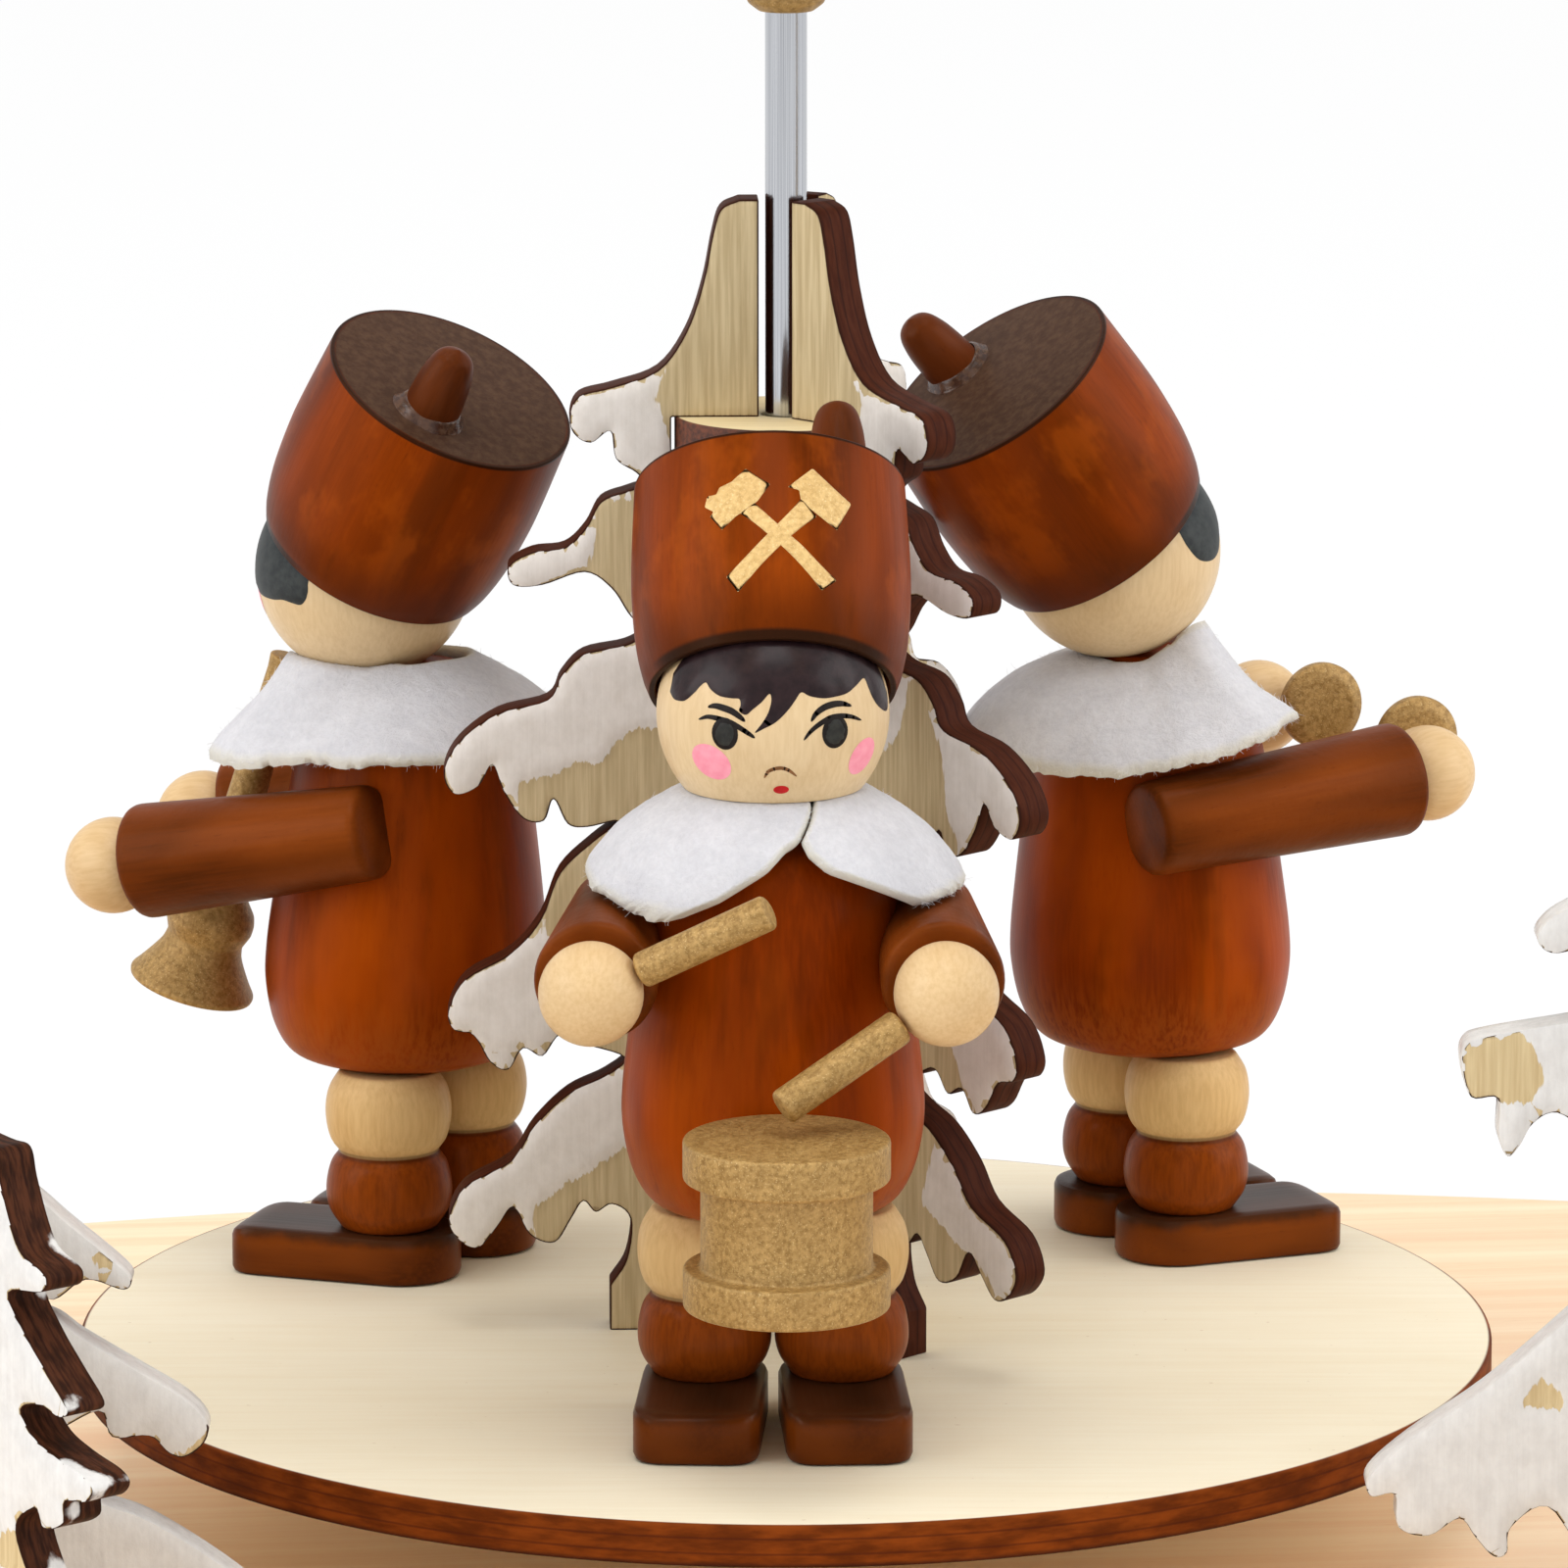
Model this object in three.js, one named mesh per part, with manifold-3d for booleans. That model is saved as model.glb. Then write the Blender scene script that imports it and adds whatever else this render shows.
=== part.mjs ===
// Candle carousel: a turning disc carries three turned wooden miner musicians round a plywood tree.
// A steel tube hangs the disc on a needle that stands in an oval board. Above it a bladed wheel
// catches the warm air of two tealights. Millimetres, +Z up, +X along the board. The origin is the
// middle of the board's underside, and the drummer stands at the front, towards -Y.
import * as THREE from "three";
import { mergeVertices } from "three/addons/utils/BufferGeometryUtils.js";
import Module from "manifold-3d";

const wasm = await Module();
wasm.setup();

const DEG = Math.PI / 180;
const TURN = 360 * DEG;
const RIGHT_ANGLE = 90 * DEG;

// Facets round a turned piece
const large_facets = 60;
const fine_facets = 24;
const figure_facets = 18;
const small_facets = 12;
const arc_steps = 6;

// Fits between pieces
const glue_gap = 0.25;
const running_clearance = 0.3;
const cut_overrun = 1;

// Oval board
const board_length = 314;
const board_width = 174;
const board_thickness = 12;
const board_edge_radius = 2.5;
const board_under_disc = 9;

// Turning disc and the three-ply it is cut from
const ply_thickness = 3;
const disc_radius = 51.5;
const display_turn = -6 * DEG;

// Needle, tube and bearing
const needle_radius = 0.8;
const needle_point_length = 3;
const needle_seat_depth = 9;
const tube_radius = 1.5;
const tube_wall = 0.4;
const tube_below_disc = 4;
const disc_collar_radius = 5.5;
const disc_collar_height = 3.2;
const bearing_cup_length = 5.4;
const bearing_cone_depth = 3.4;
const bearing_cone_radius = 1.15;

// Heights above the top of the disc
const tree_height = 83;
const hub_bottom = 96.2;
const hub_axis = 150;
const hub_top = 171;

// Plywood tree in the middle
const tree_radius = 25;
const wing_inner_radius = 2;
const tree_plate_radius = 8;
const tree_plate_top_share = 0.812;
const wing_azimuths = { left: 182 * DEG, right: 315 * DEG, back: 61 * DEG };

// Hub and its rosette
const hub_radius = 11;
const hub_bore_depth = 60;
const hub_neck_radius = 2.8;
const rosette_radius = 11.6;
const rosette_notch_radius = 7.4;
const rosette_points = 10;
const rosette_seat = 2.2;
const bearing_above_axis = 0.6;

// Blades of the wheel
const blade_count = 6;
const blade_inner = 18;
const blade_outer = 118;
const blade_root_width = 15;
const blade_tip_width = 38;
const blade_thickness = 1.5;
const blade_corner_radius = 5;
const blade_pitch = 35 * DEG;
const dowel_radius = 2;
const dowel_seat_depth = 6.4;
const dowel_into_blade = 9;

// Side trees of crossing ply profiles, placed from the board's near end and front edge
const small_tree_height = 70;
const small_tree_reach = 32;
const small_tree_cross_reach = 40.4;
const small_tree_from_end = 84.6;
const small_tree_from_front = 48.4;
const tall_tree_height = 120;
const tall_tree_reach = 45;
const tall_tree_cross_reach = 30;
const tall_tree_from_end = 78.5;
const tall_tree_from_front = 30.5;
const long_profile_turn = -6 * DEG;
const small_tree_cross_turn = -56 * DEG;
const tall_tree_cross_turn = 50 * DEG;

// Tealight cups
const cup_inner_radius = 20;
const cup_wall = 1;
const cup_floor = 1.6;
const cup_height = 14;
const cup_lip = 1.6;
const cup_from_end = 39;
const cup_behind_middle = 14;

// Figures, heights above the sole
const shoe_length = 17;
const shoe_width = 8.8;
const shoe_height = 3.7;
const shoe_heel_behind = 5.4;
const shoe_toe_corner = 2.4;
const stance_half = 4.8;
const leg_height = 11.9;
const leg_radius = 4.7;
const body_height = 30;
const body_radius = 10.5;
const head_radius = 8.05;
const hat_height = 15.4;
const hat_radius = 9.7;
const hat_above_head_middle = 1.65;
const peg_radius = 2.1;
const peg_length = 5.8;
const peg_seat = 0.5;
const felt_thickness = 1;
const collar_inner_radius = 4.4;
const collar_outer_radius = 12;
const collar_below_head = 0.25;
const collar_drop = 5;
const collar_opening = 84 * DEG;
const sleeve_shoulder_radius = 3.5;
const sleeve_cuff_radius = 4.3;
const sleeve_end_round = 1;
const hand_radius = 3.6;
const hand_seat = 2.4;

// Instruments
const drum_height = 11.7;
const drum_rim_radius = 7.05;
const drum_shell_radius = 5.85;
const drum_rim_height = 2.8;
const drum_bottom = 13.2;
const drum_aside = 0.95;
const stick_radius = 1.25;
const horn_length = 27.1;
const horn_bell_radius = 4.8;
const horn_slope = 17.5 * DEG;
const cymbal_radius = 3.3;
const cymbal_thickness = 1.8;

// Places worked out from the sizes above
const tree_plate_top = tree_plate_top_share * tree_height;
const board_top = board_thickness;
const disc_bottom = board_top + board_under_disc;
const disc_top = disc_bottom + ply_thickness;
const sole_to_seat = shoe_height + leg_height;
const neck_height = sole_to_seat + body_height;
const hub_axis_height = disc_top + hub_axis;
const bearing_bottom = hub_axis_height + bearing_above_axis;

// Turned outlines as shares of radius and height, from the bottom up
const body_outline_shares = [
  [0, 0], [0.62, 0], [0.82, 0.035], [0.94, 0.1], [1, 0.2], [1, 0.29], [0.96, 0.42],
  [0.9, 0.58], [0.83, 0.75], [0.75, 0.85], [0.6, 0.9], [0.34, 0.935], [0.34, 1], [0, 1],
];
const leg_outline_shares = [
  [0, 0], [0.76, 0], [0.95, 0.12], [1, 0.25], [0.93, 0.4], [0.78, 0.49],
  [0.93, 0.58], [1, 0.73], [0.95, 0.88], [0.78, 1], [0, 1],
];
const hat_outline_shares = [
  [0.88, 0], [0.93, 0.09], [0.975, 0.24], [1, 0.45], [1, 0.64], [0.975, 1], [0, 1],
];
const peg_outline_shares = [
  [0, 0], [1, 0], [0.98, 0.35], [0.86, 0.68], [0.6, 0.9], [0, 1],
];
// Along the horn: radius as a share of the bell's, distance from the mouth as a share of the length
const horn_outline_shares = [
  [0, 0], [0.27, 0], [0.25, 0.04], [0.29, 0.35], [0.33, 0.62], [0.44, 0.7], [0.66, 0.76],
  [0.69, 0.81], [0.6, 0.85], [0.66, 0.89], [0.86, 0.95], [1, 0.985], [0.98, 1], [0, 1],
];
// Up the hub, above its bore: radius as a share of the hub's, height as a share from bottom to top
const hub_outline_shares = [
  [0.47, 0.075], [0.49, 0.09], [0.36, 0.115], [0.3, 0.16], [0.42, 0.24], [0.58, 0.33],
  [0.54, 0.38], [0.34, 0.44], [0.34, 0.52], [0.62, 0.575], [0.93, 0.6], [1, 0.63],
  [1, 0.81], [0.9, 0.85], [0.5, 0.885], [0.24, 0.905], [0.24, 0.92], [0.4, 0.945],
  [0.36, 0.985], [0, 1],
];
// Outer edge of a wing of the tree: shares of the tree's radius and height, from the top down
const wing_edge_shares = [
  [0.136, 1], [0.188, 0.992], [0.212, 0.97], [0.24, 0.928], [0.288, 0.886], [0.368, 0.853],
  [0.496, 0.839], [0.592, 0.831], [0.62, 0.814], [0.608, 0.798], [0.56, 0.79], [0.504, 0.8],
  [0.488, 0.776], [0.432, 0.764], [0.408, 0.754],
  [0.456, 0.748], [0.532, 0.739], [0.576, 0.716], [0.636, 0.699], [0.728, 0.695], [0.796, 0.683],
  [0.784, 0.666], [0.7, 0.666], [0.58, 0.677], [0.504, 0.663], [0.456, 0.641], [0.416, 0.624],
  [0.464, 0.613], [0.584, 0.605], [0.648, 0.586], [0.688, 0.565], [0.832, 0.553], [0.944, 0.528],
  [0.988, 0.501], [0.956, 0.482], [0.888, 0.489], [0.848, 0.508], [0.816, 0.484], [0.76, 0.46],
  [0.7, 0.458], [0.672, 0.477], [0.632, 0.455], [0.576, 0.452], [0.488, 0.457],
  [0.56, 0.44], [0.656, 0.412], [0.712, 0.371], [0.796, 0.341], [0.928, 0.318], [0.98, 0.289],
  [0.964, 0.272], [0.908, 0.267], [0.86, 0.243], [0.808, 0.236], [0.764, 0.255], [0.708, 0.248],
  [0.656, 0.267], [0.584, 0.258], [0.472, 0.246],
  [0.528, 0.23], [0.636, 0.214], [0.732, 0.186], [0.804, 0.154], [0.936, 0.131], [0.984, 0.102],
  [0.952, 0.082], [0.896, 0.076], [0.84, 0.096], [0.796, 0.112], [0.748, 0.087], [0.676, 0.08],
  [0.628, 0.101], [0.592, 0.117], [0.556, 0.107], [0.508, 0.114],
  [0.456, 0.101], [0.468, 0.065], [0.516, 0.041], [0.516, 0],
];
// Outer edges of the side trees' profiles: shares of reach and height, from below the peak down.
// On the small tree the long and the cross profile have branches at different heights.
const side_profile_shares = {
  left_long: [
    [0.078, 0.991], [0.15, 0.929], [0.269, 0.866], [0.425, 0.831], [0.45, 0.814], [0.419, 0.8],
    [0.325, 0.809], [0.263, 0.78], [0.219, 0.786], [0.225, 0.757], [0.29, 0.709], [0.37, 0.675],
    [0.425, 0.652], [0.444, 0.632], [0.425, 0.614], [0.385, 0.62], [0.356, 0.594], [0.32, 0.6],
    [0.281, 0.571], [0.3, 0.549], [0.419, 0.523], [0.537, 0.487], [0.613, 0.456], [0.703, 0.421],
    [0.744, 0.401], [0.728, 0.39], [0.65, 0.4], [0.581, 0.38], [0.519, 0.391], [0.45, 0.374],
    [0.572, 0.363], [0.641, 0.341], [0.762, 0.307], [0.856, 0.28], [0.9, 0.256], [0.894, 0.237],
    [0.853, 0.223], [0.819, 0.227], [0.778, 0.244], [0.7, 0.243], [0.672, 0.269], [0.562, 0.246],
    [0.444, 0.249], [0.55, 0.2], [0.669, 0.177], [0.756, 0.163], [0.844, 0.14], [0.95, 0.106],
    [1, 0.083], [0.975, 0.063], [0.863, 0.074], [0.762, 0.051], [0.606, 0.066], [0.438, 0.046],
    [0.263, 0.051], [0.263, 0],
  ],
  left_cross: [
    [0.062, 0.99], [0.119, 0.923], [0.229, 0.871], [0.352, 0.849], [0.381, 0.829], [0.357, 0.811],
    [0.267, 0.817], [0.205, 0.791], [0.295, 0.751], [0.433, 0.731], [0.557, 0.714], [0.581, 0.691],
    [0.548, 0.674], [0.424, 0.677], [0.343, 0.651], [0.305, 0.629], [0.476, 0.611], [0.631, 0.603],
    [0.688, 0.601], [0.705, 0.574], [0.733, 0.537], [0.762, 0.514], [0.81, 0.504], [0.829, 0.496],
    [0.814, 0.483], [0.724, 0.471], [0.767, 0.437], [0.829, 0.406], [0.881, 0.38], [0.857, 0.369],
    [0.805, 0.374], [0.752, 0.363], [0.786, 0.341], [0.852, 0.329], [0.924, 0.321], [0.948, 0.311],
    [0.926, 0.297], [0.871, 0.29], [0.864, 0.269], [0.81, 0.256], [0.786, 0.273], [0.733, 0.249],
    [0.76, 0.211], [0.819, 0.171], [0.91, 0.143], [0.99, 0.126], [1, 0.106], [0.948, 0.091],
    [0.824, 0.1], [0.7, 0.069], [0.524, 0.08], [0.348, 0.049], [0.2, 0.051], [0.2, 0],
  ],
  right: [
    [0.089, 0.987], [0.156, 0.925], [0.267, 0.885], [0.378, 0.867], [0.4, 0.85], [0.369, 0.84],
    [0.267, 0.845], [0.2, 0.818], [0.169, 0.825], [0.187, 0.795], [0.267, 0.758], [0.378, 0.73],
    [0.502, 0.713], [0.529, 0.695], [0.493, 0.682], [0.391, 0.69], [0.311, 0.662], [0.258, 0.67],
    [0.236, 0.642], [0.324, 0.6], [0.467, 0.565], [0.636, 0.543], [0.658, 0.525], [0.618, 0.512],
    [0.498, 0.522], [0.391, 0.492], [0.311, 0.5], [0.444, 0.478], [0.6, 0.468], [0.709, 0.451],
    [0.747, 0.44], [0.753, 0.431], [0.724, 0.425], [0.644, 0.432], [0.569, 0.413], [0.467, 0.418],
    [0.569, 0.395], [0.704, 0.386], [0.827, 0.378], [0.858, 0.373], [0.864, 0.362], [0.849, 0.343],
    [0.809, 0.342], [0.807, 0.32], [0.793, 0.309], [0.776, 0.315], [0.756, 0.328], [0.72, 0.334],
    [0.658, 0.322], [0.578, 0.333], [0.458, 0.308], [0.569, 0.263], [0.696, 0.216], [0.818, 0.175],
    [0.931, 0.145], [0.991, 0.124], [0.989, 0.112], [0.953, 0.113], [0.947, 0.094], [0.902, 0.089],
    [0.856, 0.099], [0.831, 0.088], [0.804, 0.077], [0.784, 0.079], [0.778, 0.094], [0.724, 0.106],
    [0.658, 0.08], [0.547, 0.095], [0.409, 0.062], [0.222, 0.053], [0.222, 0],
  ],
};

// Where each figure stands, as a share of the disc's radius, and how far forward and above the neck
// the middle of its head is, as shares of the head's radius. Shoulders and hands are shares of the
// body's radius forwards and to the left, and of the neck's height up from the sole. Feet stand
// forward of the neck and the seat sways forward of it by shares of the body's radius. The hat's
// peg stands forward and left of the hat's axis by shares of the hat's radius, and is its own share
// of the common peg's length.
const figure_shares = {
  drummer: {
    stand: 0.503, head: [0, 0.636], peg: [0, 0.495], peg_height: 1.17,
    feet: { left: 0, right: 0 }, sway: 0,
    left: { shoulder: [-0.57, 1.01, 0.772], hand: [1.238, 1.124, 0.741] },
    right: { shoulder: [-0.57, -1.01, 0.772], hand: [1.238, -1.176, 0.741] },
  },
  horn_player: {
    stand: 0.65, head: [0.468, 0.848], peg: [0, 0.495], peg_height: 1,
    feet: { left: 0.05, right: -0.19 }, sway: 0.1,
    left: { shoulder: [-0.095, 1.029, 0.768], hand: [1.962, 0.857, 0.673] },
    right: { shoulder: [-0.095, -1.029, 0.768], hand: [1.962, -0.857, 0.673] },
  },
  cymbal_player: {
    stand: 0.703, head: [-0.345, 0.96], peg: [-0.09, 0.56], peg_height: 1,
    feet: { left: 0.06, right: 0.15 }, sway: 0.07,
    left: { shoulder: [-0.476, 1.01, 0.75], hand: [1.228, 0.762, 0.851] },
    right: { shoulder: [-0.429, -1.01, 0.75], hand: [1.9, -0.695, 0.791] },
  },
};
// The hat is tilted back and leans to the figure's left, and the toes turn outwards.
const figure_turns = {
  drummer: { stand: 268 * DEG, facing: 270 * DEG, tilt: 35.4 * DEG, lean: -1 * DEG, toes: 3 * DEG },
  horn_player: { stand: 145.7 * DEG, facing: 162 * DEG, tilt: 28.8 * DEG, lean: 13.5 * DEG, toes: 0 },
  cymbal_player: { stand: 41.9 * DEG, facing: 21 * DEG, tilt: 37 * DEG, lean: -6.8 * DEG, toes: 0 },
};
// Ends of the drumsticks and the horn's mouth, in the same shares as the hands
const stick_tip_shares = { left: [1.676, 0.057, 0.59], right: [1.486, -0.02, 0.879] };
const horn_mouth_shares = [0.957, 0, 0.998];
// Cymbals beside the hands: shares of the cymbal's radius forwards and up
const cymbal_shares = { left: [0.92, 0.24], right: [0.39, 0.49] };

// Materials
const brown_stain = new THREE.MeshStandardMaterial({ color: 0x9a4a16, roughness: 0.42, metalness: 0 });
const dark_brown = new THREE.MeshStandardMaterial({ color: 0x5a2a12, roughness: 0.4, metalness: 0 });
const natural_wood = new THREE.MeshStandardMaterial({ color: 0xe2c08c, roughness: 0.5, metalness: 0 });
const gold_paint = new THREE.MeshStandardMaterial({ color: 0xb99a5e, roughness: 0.5, metalness: 0.4 });
const white_felt = new THREE.MeshStandardMaterial({ color: 0xebebf0, roughness: 0.95, metalness: 0 });
const cream_ply = new THREE.MeshStandardMaterial({ color: 0xebe1c8, roughness: 0.7, metalness: 0 });
const snowy_ply = new THREE.MeshStandardMaterial({ color: 0xd8d0c4, roughness: 0.6, metalness: 0 });
const pale_board = new THREE.MeshStandardMaterial({ color: 0xfae1b9, roughness: 0.6, metalness: 0 });
const bright_steel = new THREE.MeshStandardMaterial({ color: 0xc9ccd0, roughness: 0.2, metalness: 1 });
const brass = new THREE.MeshStandardMaterial({ color: 0xc8a258, roughness: 0.3, metalness: 1 });
const blade_wood = new THREE.MeshStandardMaterial({ color: 0xe6c996, roughness: 0.6, metalness: 0 });

// Geometry helpers

// A closed solid from a geometry, for joining and cutting.
function solidOf(geometry) {
  const bare = geometry.clone();
  bare.deleteAttribute("normal");
  bare.deleteAttribute("uv");
  const merged = mergeVertices(bare, glue_gap / 1000);
  return new wasm.Manifold(
    new wasm.Mesh({
      numProp: 3,
      vertProperties: merged.attributes.position.array,
      triVerts: new Uint32Array(merged.index.array),
    }),
  );
}

// A geometry from a joined or cut solid.
function geometryOf(solid) {
  const mesh = solid.getMesh();
  return new THREE.BufferGeometry()
    .setAttribute("position", new THREE.BufferAttribute(mesh.vertProperties, 3))
    .setIndex(new THREE.BufferAttribute(mesh.triVerts, 1))
    .toNonIndexed();
}

// A profile of [radius, height] turned round Z.
function turned(profile, facets) {
  const points = profile.map(([radius, height]) => new THREE.Vector2(radius, height));
  return new THREE.LatheGeometry(points, facets).rotateX(RIGHT_ANGLE);
}

// A table of shares scaled to a radius and a height, with the radius swollen where it isn't zero.
function scaled(shares, radius, height, swell = 0) {
  return shares.map(([r, z]) => [r > 0 ? r * radius + swell : 0, z * height]);
}

// Points on a circle in the [radius, height] plane between two angles above the horizontal.
function arc(radius, middle, from, to) {
  return Array.from({ length: arc_steps + 1 }, (_, i) => {
    const angle = from + ((to - from) * i) / arc_steps;
    return [radius * Math.cos(angle), middle + radius * Math.sin(angle)];
  });
}

// A ring with a square section.
function ring(inner, outer, bottom, top, facets) {
  return turned([[inner, bottom], [outer, bottom], [outer, top], [inner, top], [inner, bottom]], facets);
}

// A plain rod along Z.
function rod(radius, bottom, top, facets) {
  return turned([[0, bottom], [radius, bottom], [radius, top], [0, top]], facets);
}

// A flat outline given thickness upwards.
function plate(points, thickness) {
  const shape = new THREE.Shape(points.map(([x, y]) => new THREE.Vector2(x, y)));
  return new THREE.ExtrudeGeometry(shape, { depth: thickness, bevelEnabled: false });
}

// An outline of [radius, height] given the ply's thickness, standing in the plane of X and Z.
function uprightPly(points) {
  return plate(points, ply_thickness).rotateX(RIGHT_ANGLE).translate(0, ply_thickness / 2, 0);
}

// Turns a geometry along Z so that it runs from one point towards another.
function aimed(geometry, from, towards) {
  const direction = towards.clone().sub(from).normalize();
  const spin = new THREE.Quaternion().setFromUnitVectors(new THREE.Vector3(0, 0, 1), direction);
  return geometry.applyQuaternion(spin).translate(from.x, from.y, from.z);
}

function add(group, name, geometry, material) {
  const mesh = new THREE.Mesh(geometry, material);
  mesh.name = name;
  group.add(mesh);
  return mesh;
}

// Board, needle and tealight cups

function makeBoard() {
  const inset = board_edge_radius;
  const oval = new THREE.Shape();
  oval.absellipse(0, 0, board_length / 2 - inset, board_width / 2 - inset, 0, TURN, false, 0);
  const body = new THREE.ExtrudeGeometry(oval, {
    depth: board_thickness - 2 * inset,
    bevelEnabled: true,
    bevelThickness: inset,
    bevelSize: inset,
    bevelSegments: 2,
    curveSegments: large_facets / 2,
  }).translate(0, 0, inset);
  const seat = rod(
    needle_radius + glue_gap, board_top - needle_seat_depth, board_top + cut_overrun, small_facets,
  );
  return geometryOf(solidOf(body).subtract(solidOf(seat)));
}

function makeNeedle() {
  const tip = bearing_bottom + bearing_cone_depth - running_clearance;
  const profile = [
    [0, board_top - needle_seat_depth], [needle_radius, board_top - needle_seat_depth],
    [needle_radius, tip - needle_point_length], [0, tip],
  ];
  return turned(profile, small_facets);
}

function makeTealightCup() {
  const outer = cup_inner_radius + cup_wall;
  return turned([
    [0, 0], [outer, 0], [outer, cup_height - cup_wall],
    [outer + cup_lip, cup_height - cup_wall], [outer + cup_lip, cup_height],
    [cup_inner_radius, cup_height], [cup_inner_radius, cup_floor], [0, cup_floor],
  ], fine_facets);
}

// Side trees: the long profile is slotted from below and the cross profile from above

const side_trees = {
  left: {
    height: small_tree_height,
    x: small_tree_from_end - board_length / 2,
    y: small_tree_from_front - board_width / 2,
    long: { reach: small_tree_reach, turn: long_profile_turn, outline: "left_long" },
    cross: { reach: small_tree_cross_reach, turn: small_tree_cross_turn, outline: "left_cross" },
  },
  right: {
    height: tall_tree_height,
    x: board_length / 2 - tall_tree_from_end,
    y: tall_tree_from_front - board_width / 2,
    long: { reach: tall_tree_reach, turn: long_profile_turn, outline: "right" },
    cross: { reach: tall_tree_cross_reach, turn: tall_tree_cross_turn, outline: "right" },
  },
};

function sideProfile(tree, profile, slotFrom, slotTo) {
  const half = side_profile_shares[profile.outline].map(([r, z]) => [r * profile.reach, z * tree.height]);
  const outline = [[0, tree.height], ...half, ...half.map(([r, z]) => [-r, z]).reverse()].reverse();
  const crossing = Math.abs(tree.long.turn - tree.cross.turn);
  const half_slot = ply_thickness / 2 / Math.sin(crossing)
    + ply_thickness / 2 / Math.tan(crossing) + glue_gap;
  const slot = plate(
    [[-half_slot, slotFrom], [half_slot, slotFrom], [half_slot, slotTo], [-half_slot, slotTo]],
    ply_thickness + 2 * cut_overrun,
  ).rotateX(RIGHT_ANGLE).translate(0, ply_thickness / 2 + cut_overrun, 0);
  return geometryOf(solidOf(uprightPly(outline)).subtract(solidOf(slot)));
}

function addSideTree(base, side) {
  const tree = side_trees[side];
  const middle = tree.height / 2;
  const slots = {
    long: [-cut_overrun, middle + glue_gap],
    cross: [middle, tree.height + cut_overrun],
  };
  for (const [name, slot] of Object.entries(slots)) {
    const geometry = sideProfile(tree, tree[name], ...slot);
    const profile = add(base, side + "_tree_" + name + "_profile", geometry, snowy_ply);
    profile.position.set(tree.x, tree.y, board_top);
    profile.rotation.z = tree[name].turn;
  }
}

// The tree in the middle: three wings round the tube, notched for a small round plate

function makeWing() {
  const outer = wing_edge_shares.map(([r, z]) => [r * tree_radius, z * tree_height]);
  const notch = tree_plate_radius + glue_gap;
  const plate_bottom = tree_plate_top - ply_thickness;
  return uprightPly([
    [wing_inner_radius, tree_height], ...outer, [wing_inner_radius, 0],
    [wing_inner_radius, plate_bottom], [notch, plate_bottom],
    [notch, tree_plate_top], [wing_inner_radius, tree_plate_top],
  ].reverse());
}

function addTree(rotor) {
  for (const [side, azimuth] of Object.entries(wing_azimuths)) {
    const wing = add(rotor, "tree_wing_" + side, makeWing(), snowy_ply);
    wing.position.z = disc_top;
    wing.rotation.z = azimuth;
  }
  const bottom = disc_top + tree_plate_top - ply_thickness;
  const hole = tube_radius + running_clearance;
  add(rotor, "tree_plate",
    ring(hole, tree_plate_radius, bottom, bottom + ply_thickness, fine_facets), cream_ply);
}

// Disc, tube and bearing

function addDisc(rotor) {
  const hole = tube_radius + running_clearance;
  add(rotor, "turning_disc", ring(hole, disc_radius, disc_bottom, disc_top, large_facets), cream_ply);
  add(rotor, "disc_collar", ring(
    hole, disc_collar_radius, disc_bottom - disc_collar_height, disc_bottom, fine_facets,
  ), brass);
  add(rotor, "rotor_tube", ring(
    tube_radius - tube_wall, tube_radius, disc_bottom - tube_below_disc,
    bearing_bottom - glue_gap, small_facets,
  ), bright_steel);
  const cup_top = bearing_bottom + bearing_cup_length;
  add(rotor, "bearing_cup", turned([
    [0, bearing_bottom + bearing_cone_depth], [bearing_cone_radius, bearing_bottom],
    [tube_radius, bearing_bottom], [tube_radius, cup_top], [0, cup_top],
  ], small_facets), brass);
}

// Hub, rosette and blades

function makeHub() {
  const height = hub_top - hub_bottom;
  const bottom = disc_top + hub_bottom;
  const bore = tube_radius + running_clearance;
  const upper = hub_outline_shares.map(([r, z]) => [r * hub_radius, bottom + z * height]);
  const chamfer = hub_neck_radius - bore - glue_gap;
  let hub = solidOf(turned([
    [0, bottom + hub_bore_depth], [bore, bottom + hub_bore_depth], [bore, bottom],
    [hub_neck_radius - chamfer, bottom], [hub_neck_radius, bottom + chamfer],
    [hub_neck_radius, upper[0][1]], ...upper,
  ], figure_facets));
  const hole = rod(
    dowel_radius + running_clearance, hub_radius - dowel_seat_depth, hub_radius + cut_overrun, small_facets,
  ).rotateY(RIGHT_ANGLE).translate(0, 0, hub_axis_height);
  for (let i = 0; i < blade_count; i += 1)
    hub = hub.subtract(solidOf(hole.clone().rotateZ((i * TURN) / blade_count)));
  return geometryOf(hub);
}

// The rosette is slid up the neck until it meets the hub's lowest bead.
function makeRosette() {
  const points = [];
  const step = TURN / rosette_points;
  for (let i = 0; i < rosette_points; i += 1) {
    const angle = i * step;
    points.push([rosette_radius * Math.cos(angle), rosette_radius * Math.sin(angle)]);
    const valley = angle + step / 2;
    points.push([rosette_notch_radius * Math.cos(valley), rosette_notch_radius * Math.sin(valley)]);
  }
  const bottom = disc_top + hub_bottom + rosette_seat;
  const star = plate(points, ply_thickness).translate(0, 0, bottom);
  const hole = rod(
    hub_neck_radius + glue_gap, bottom - cut_overrun, bottom + ply_thickness + cut_overrun, small_facets,
  );
  return geometryOf(solidOf(star).subtract(solidOf(hole)));
}

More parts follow.
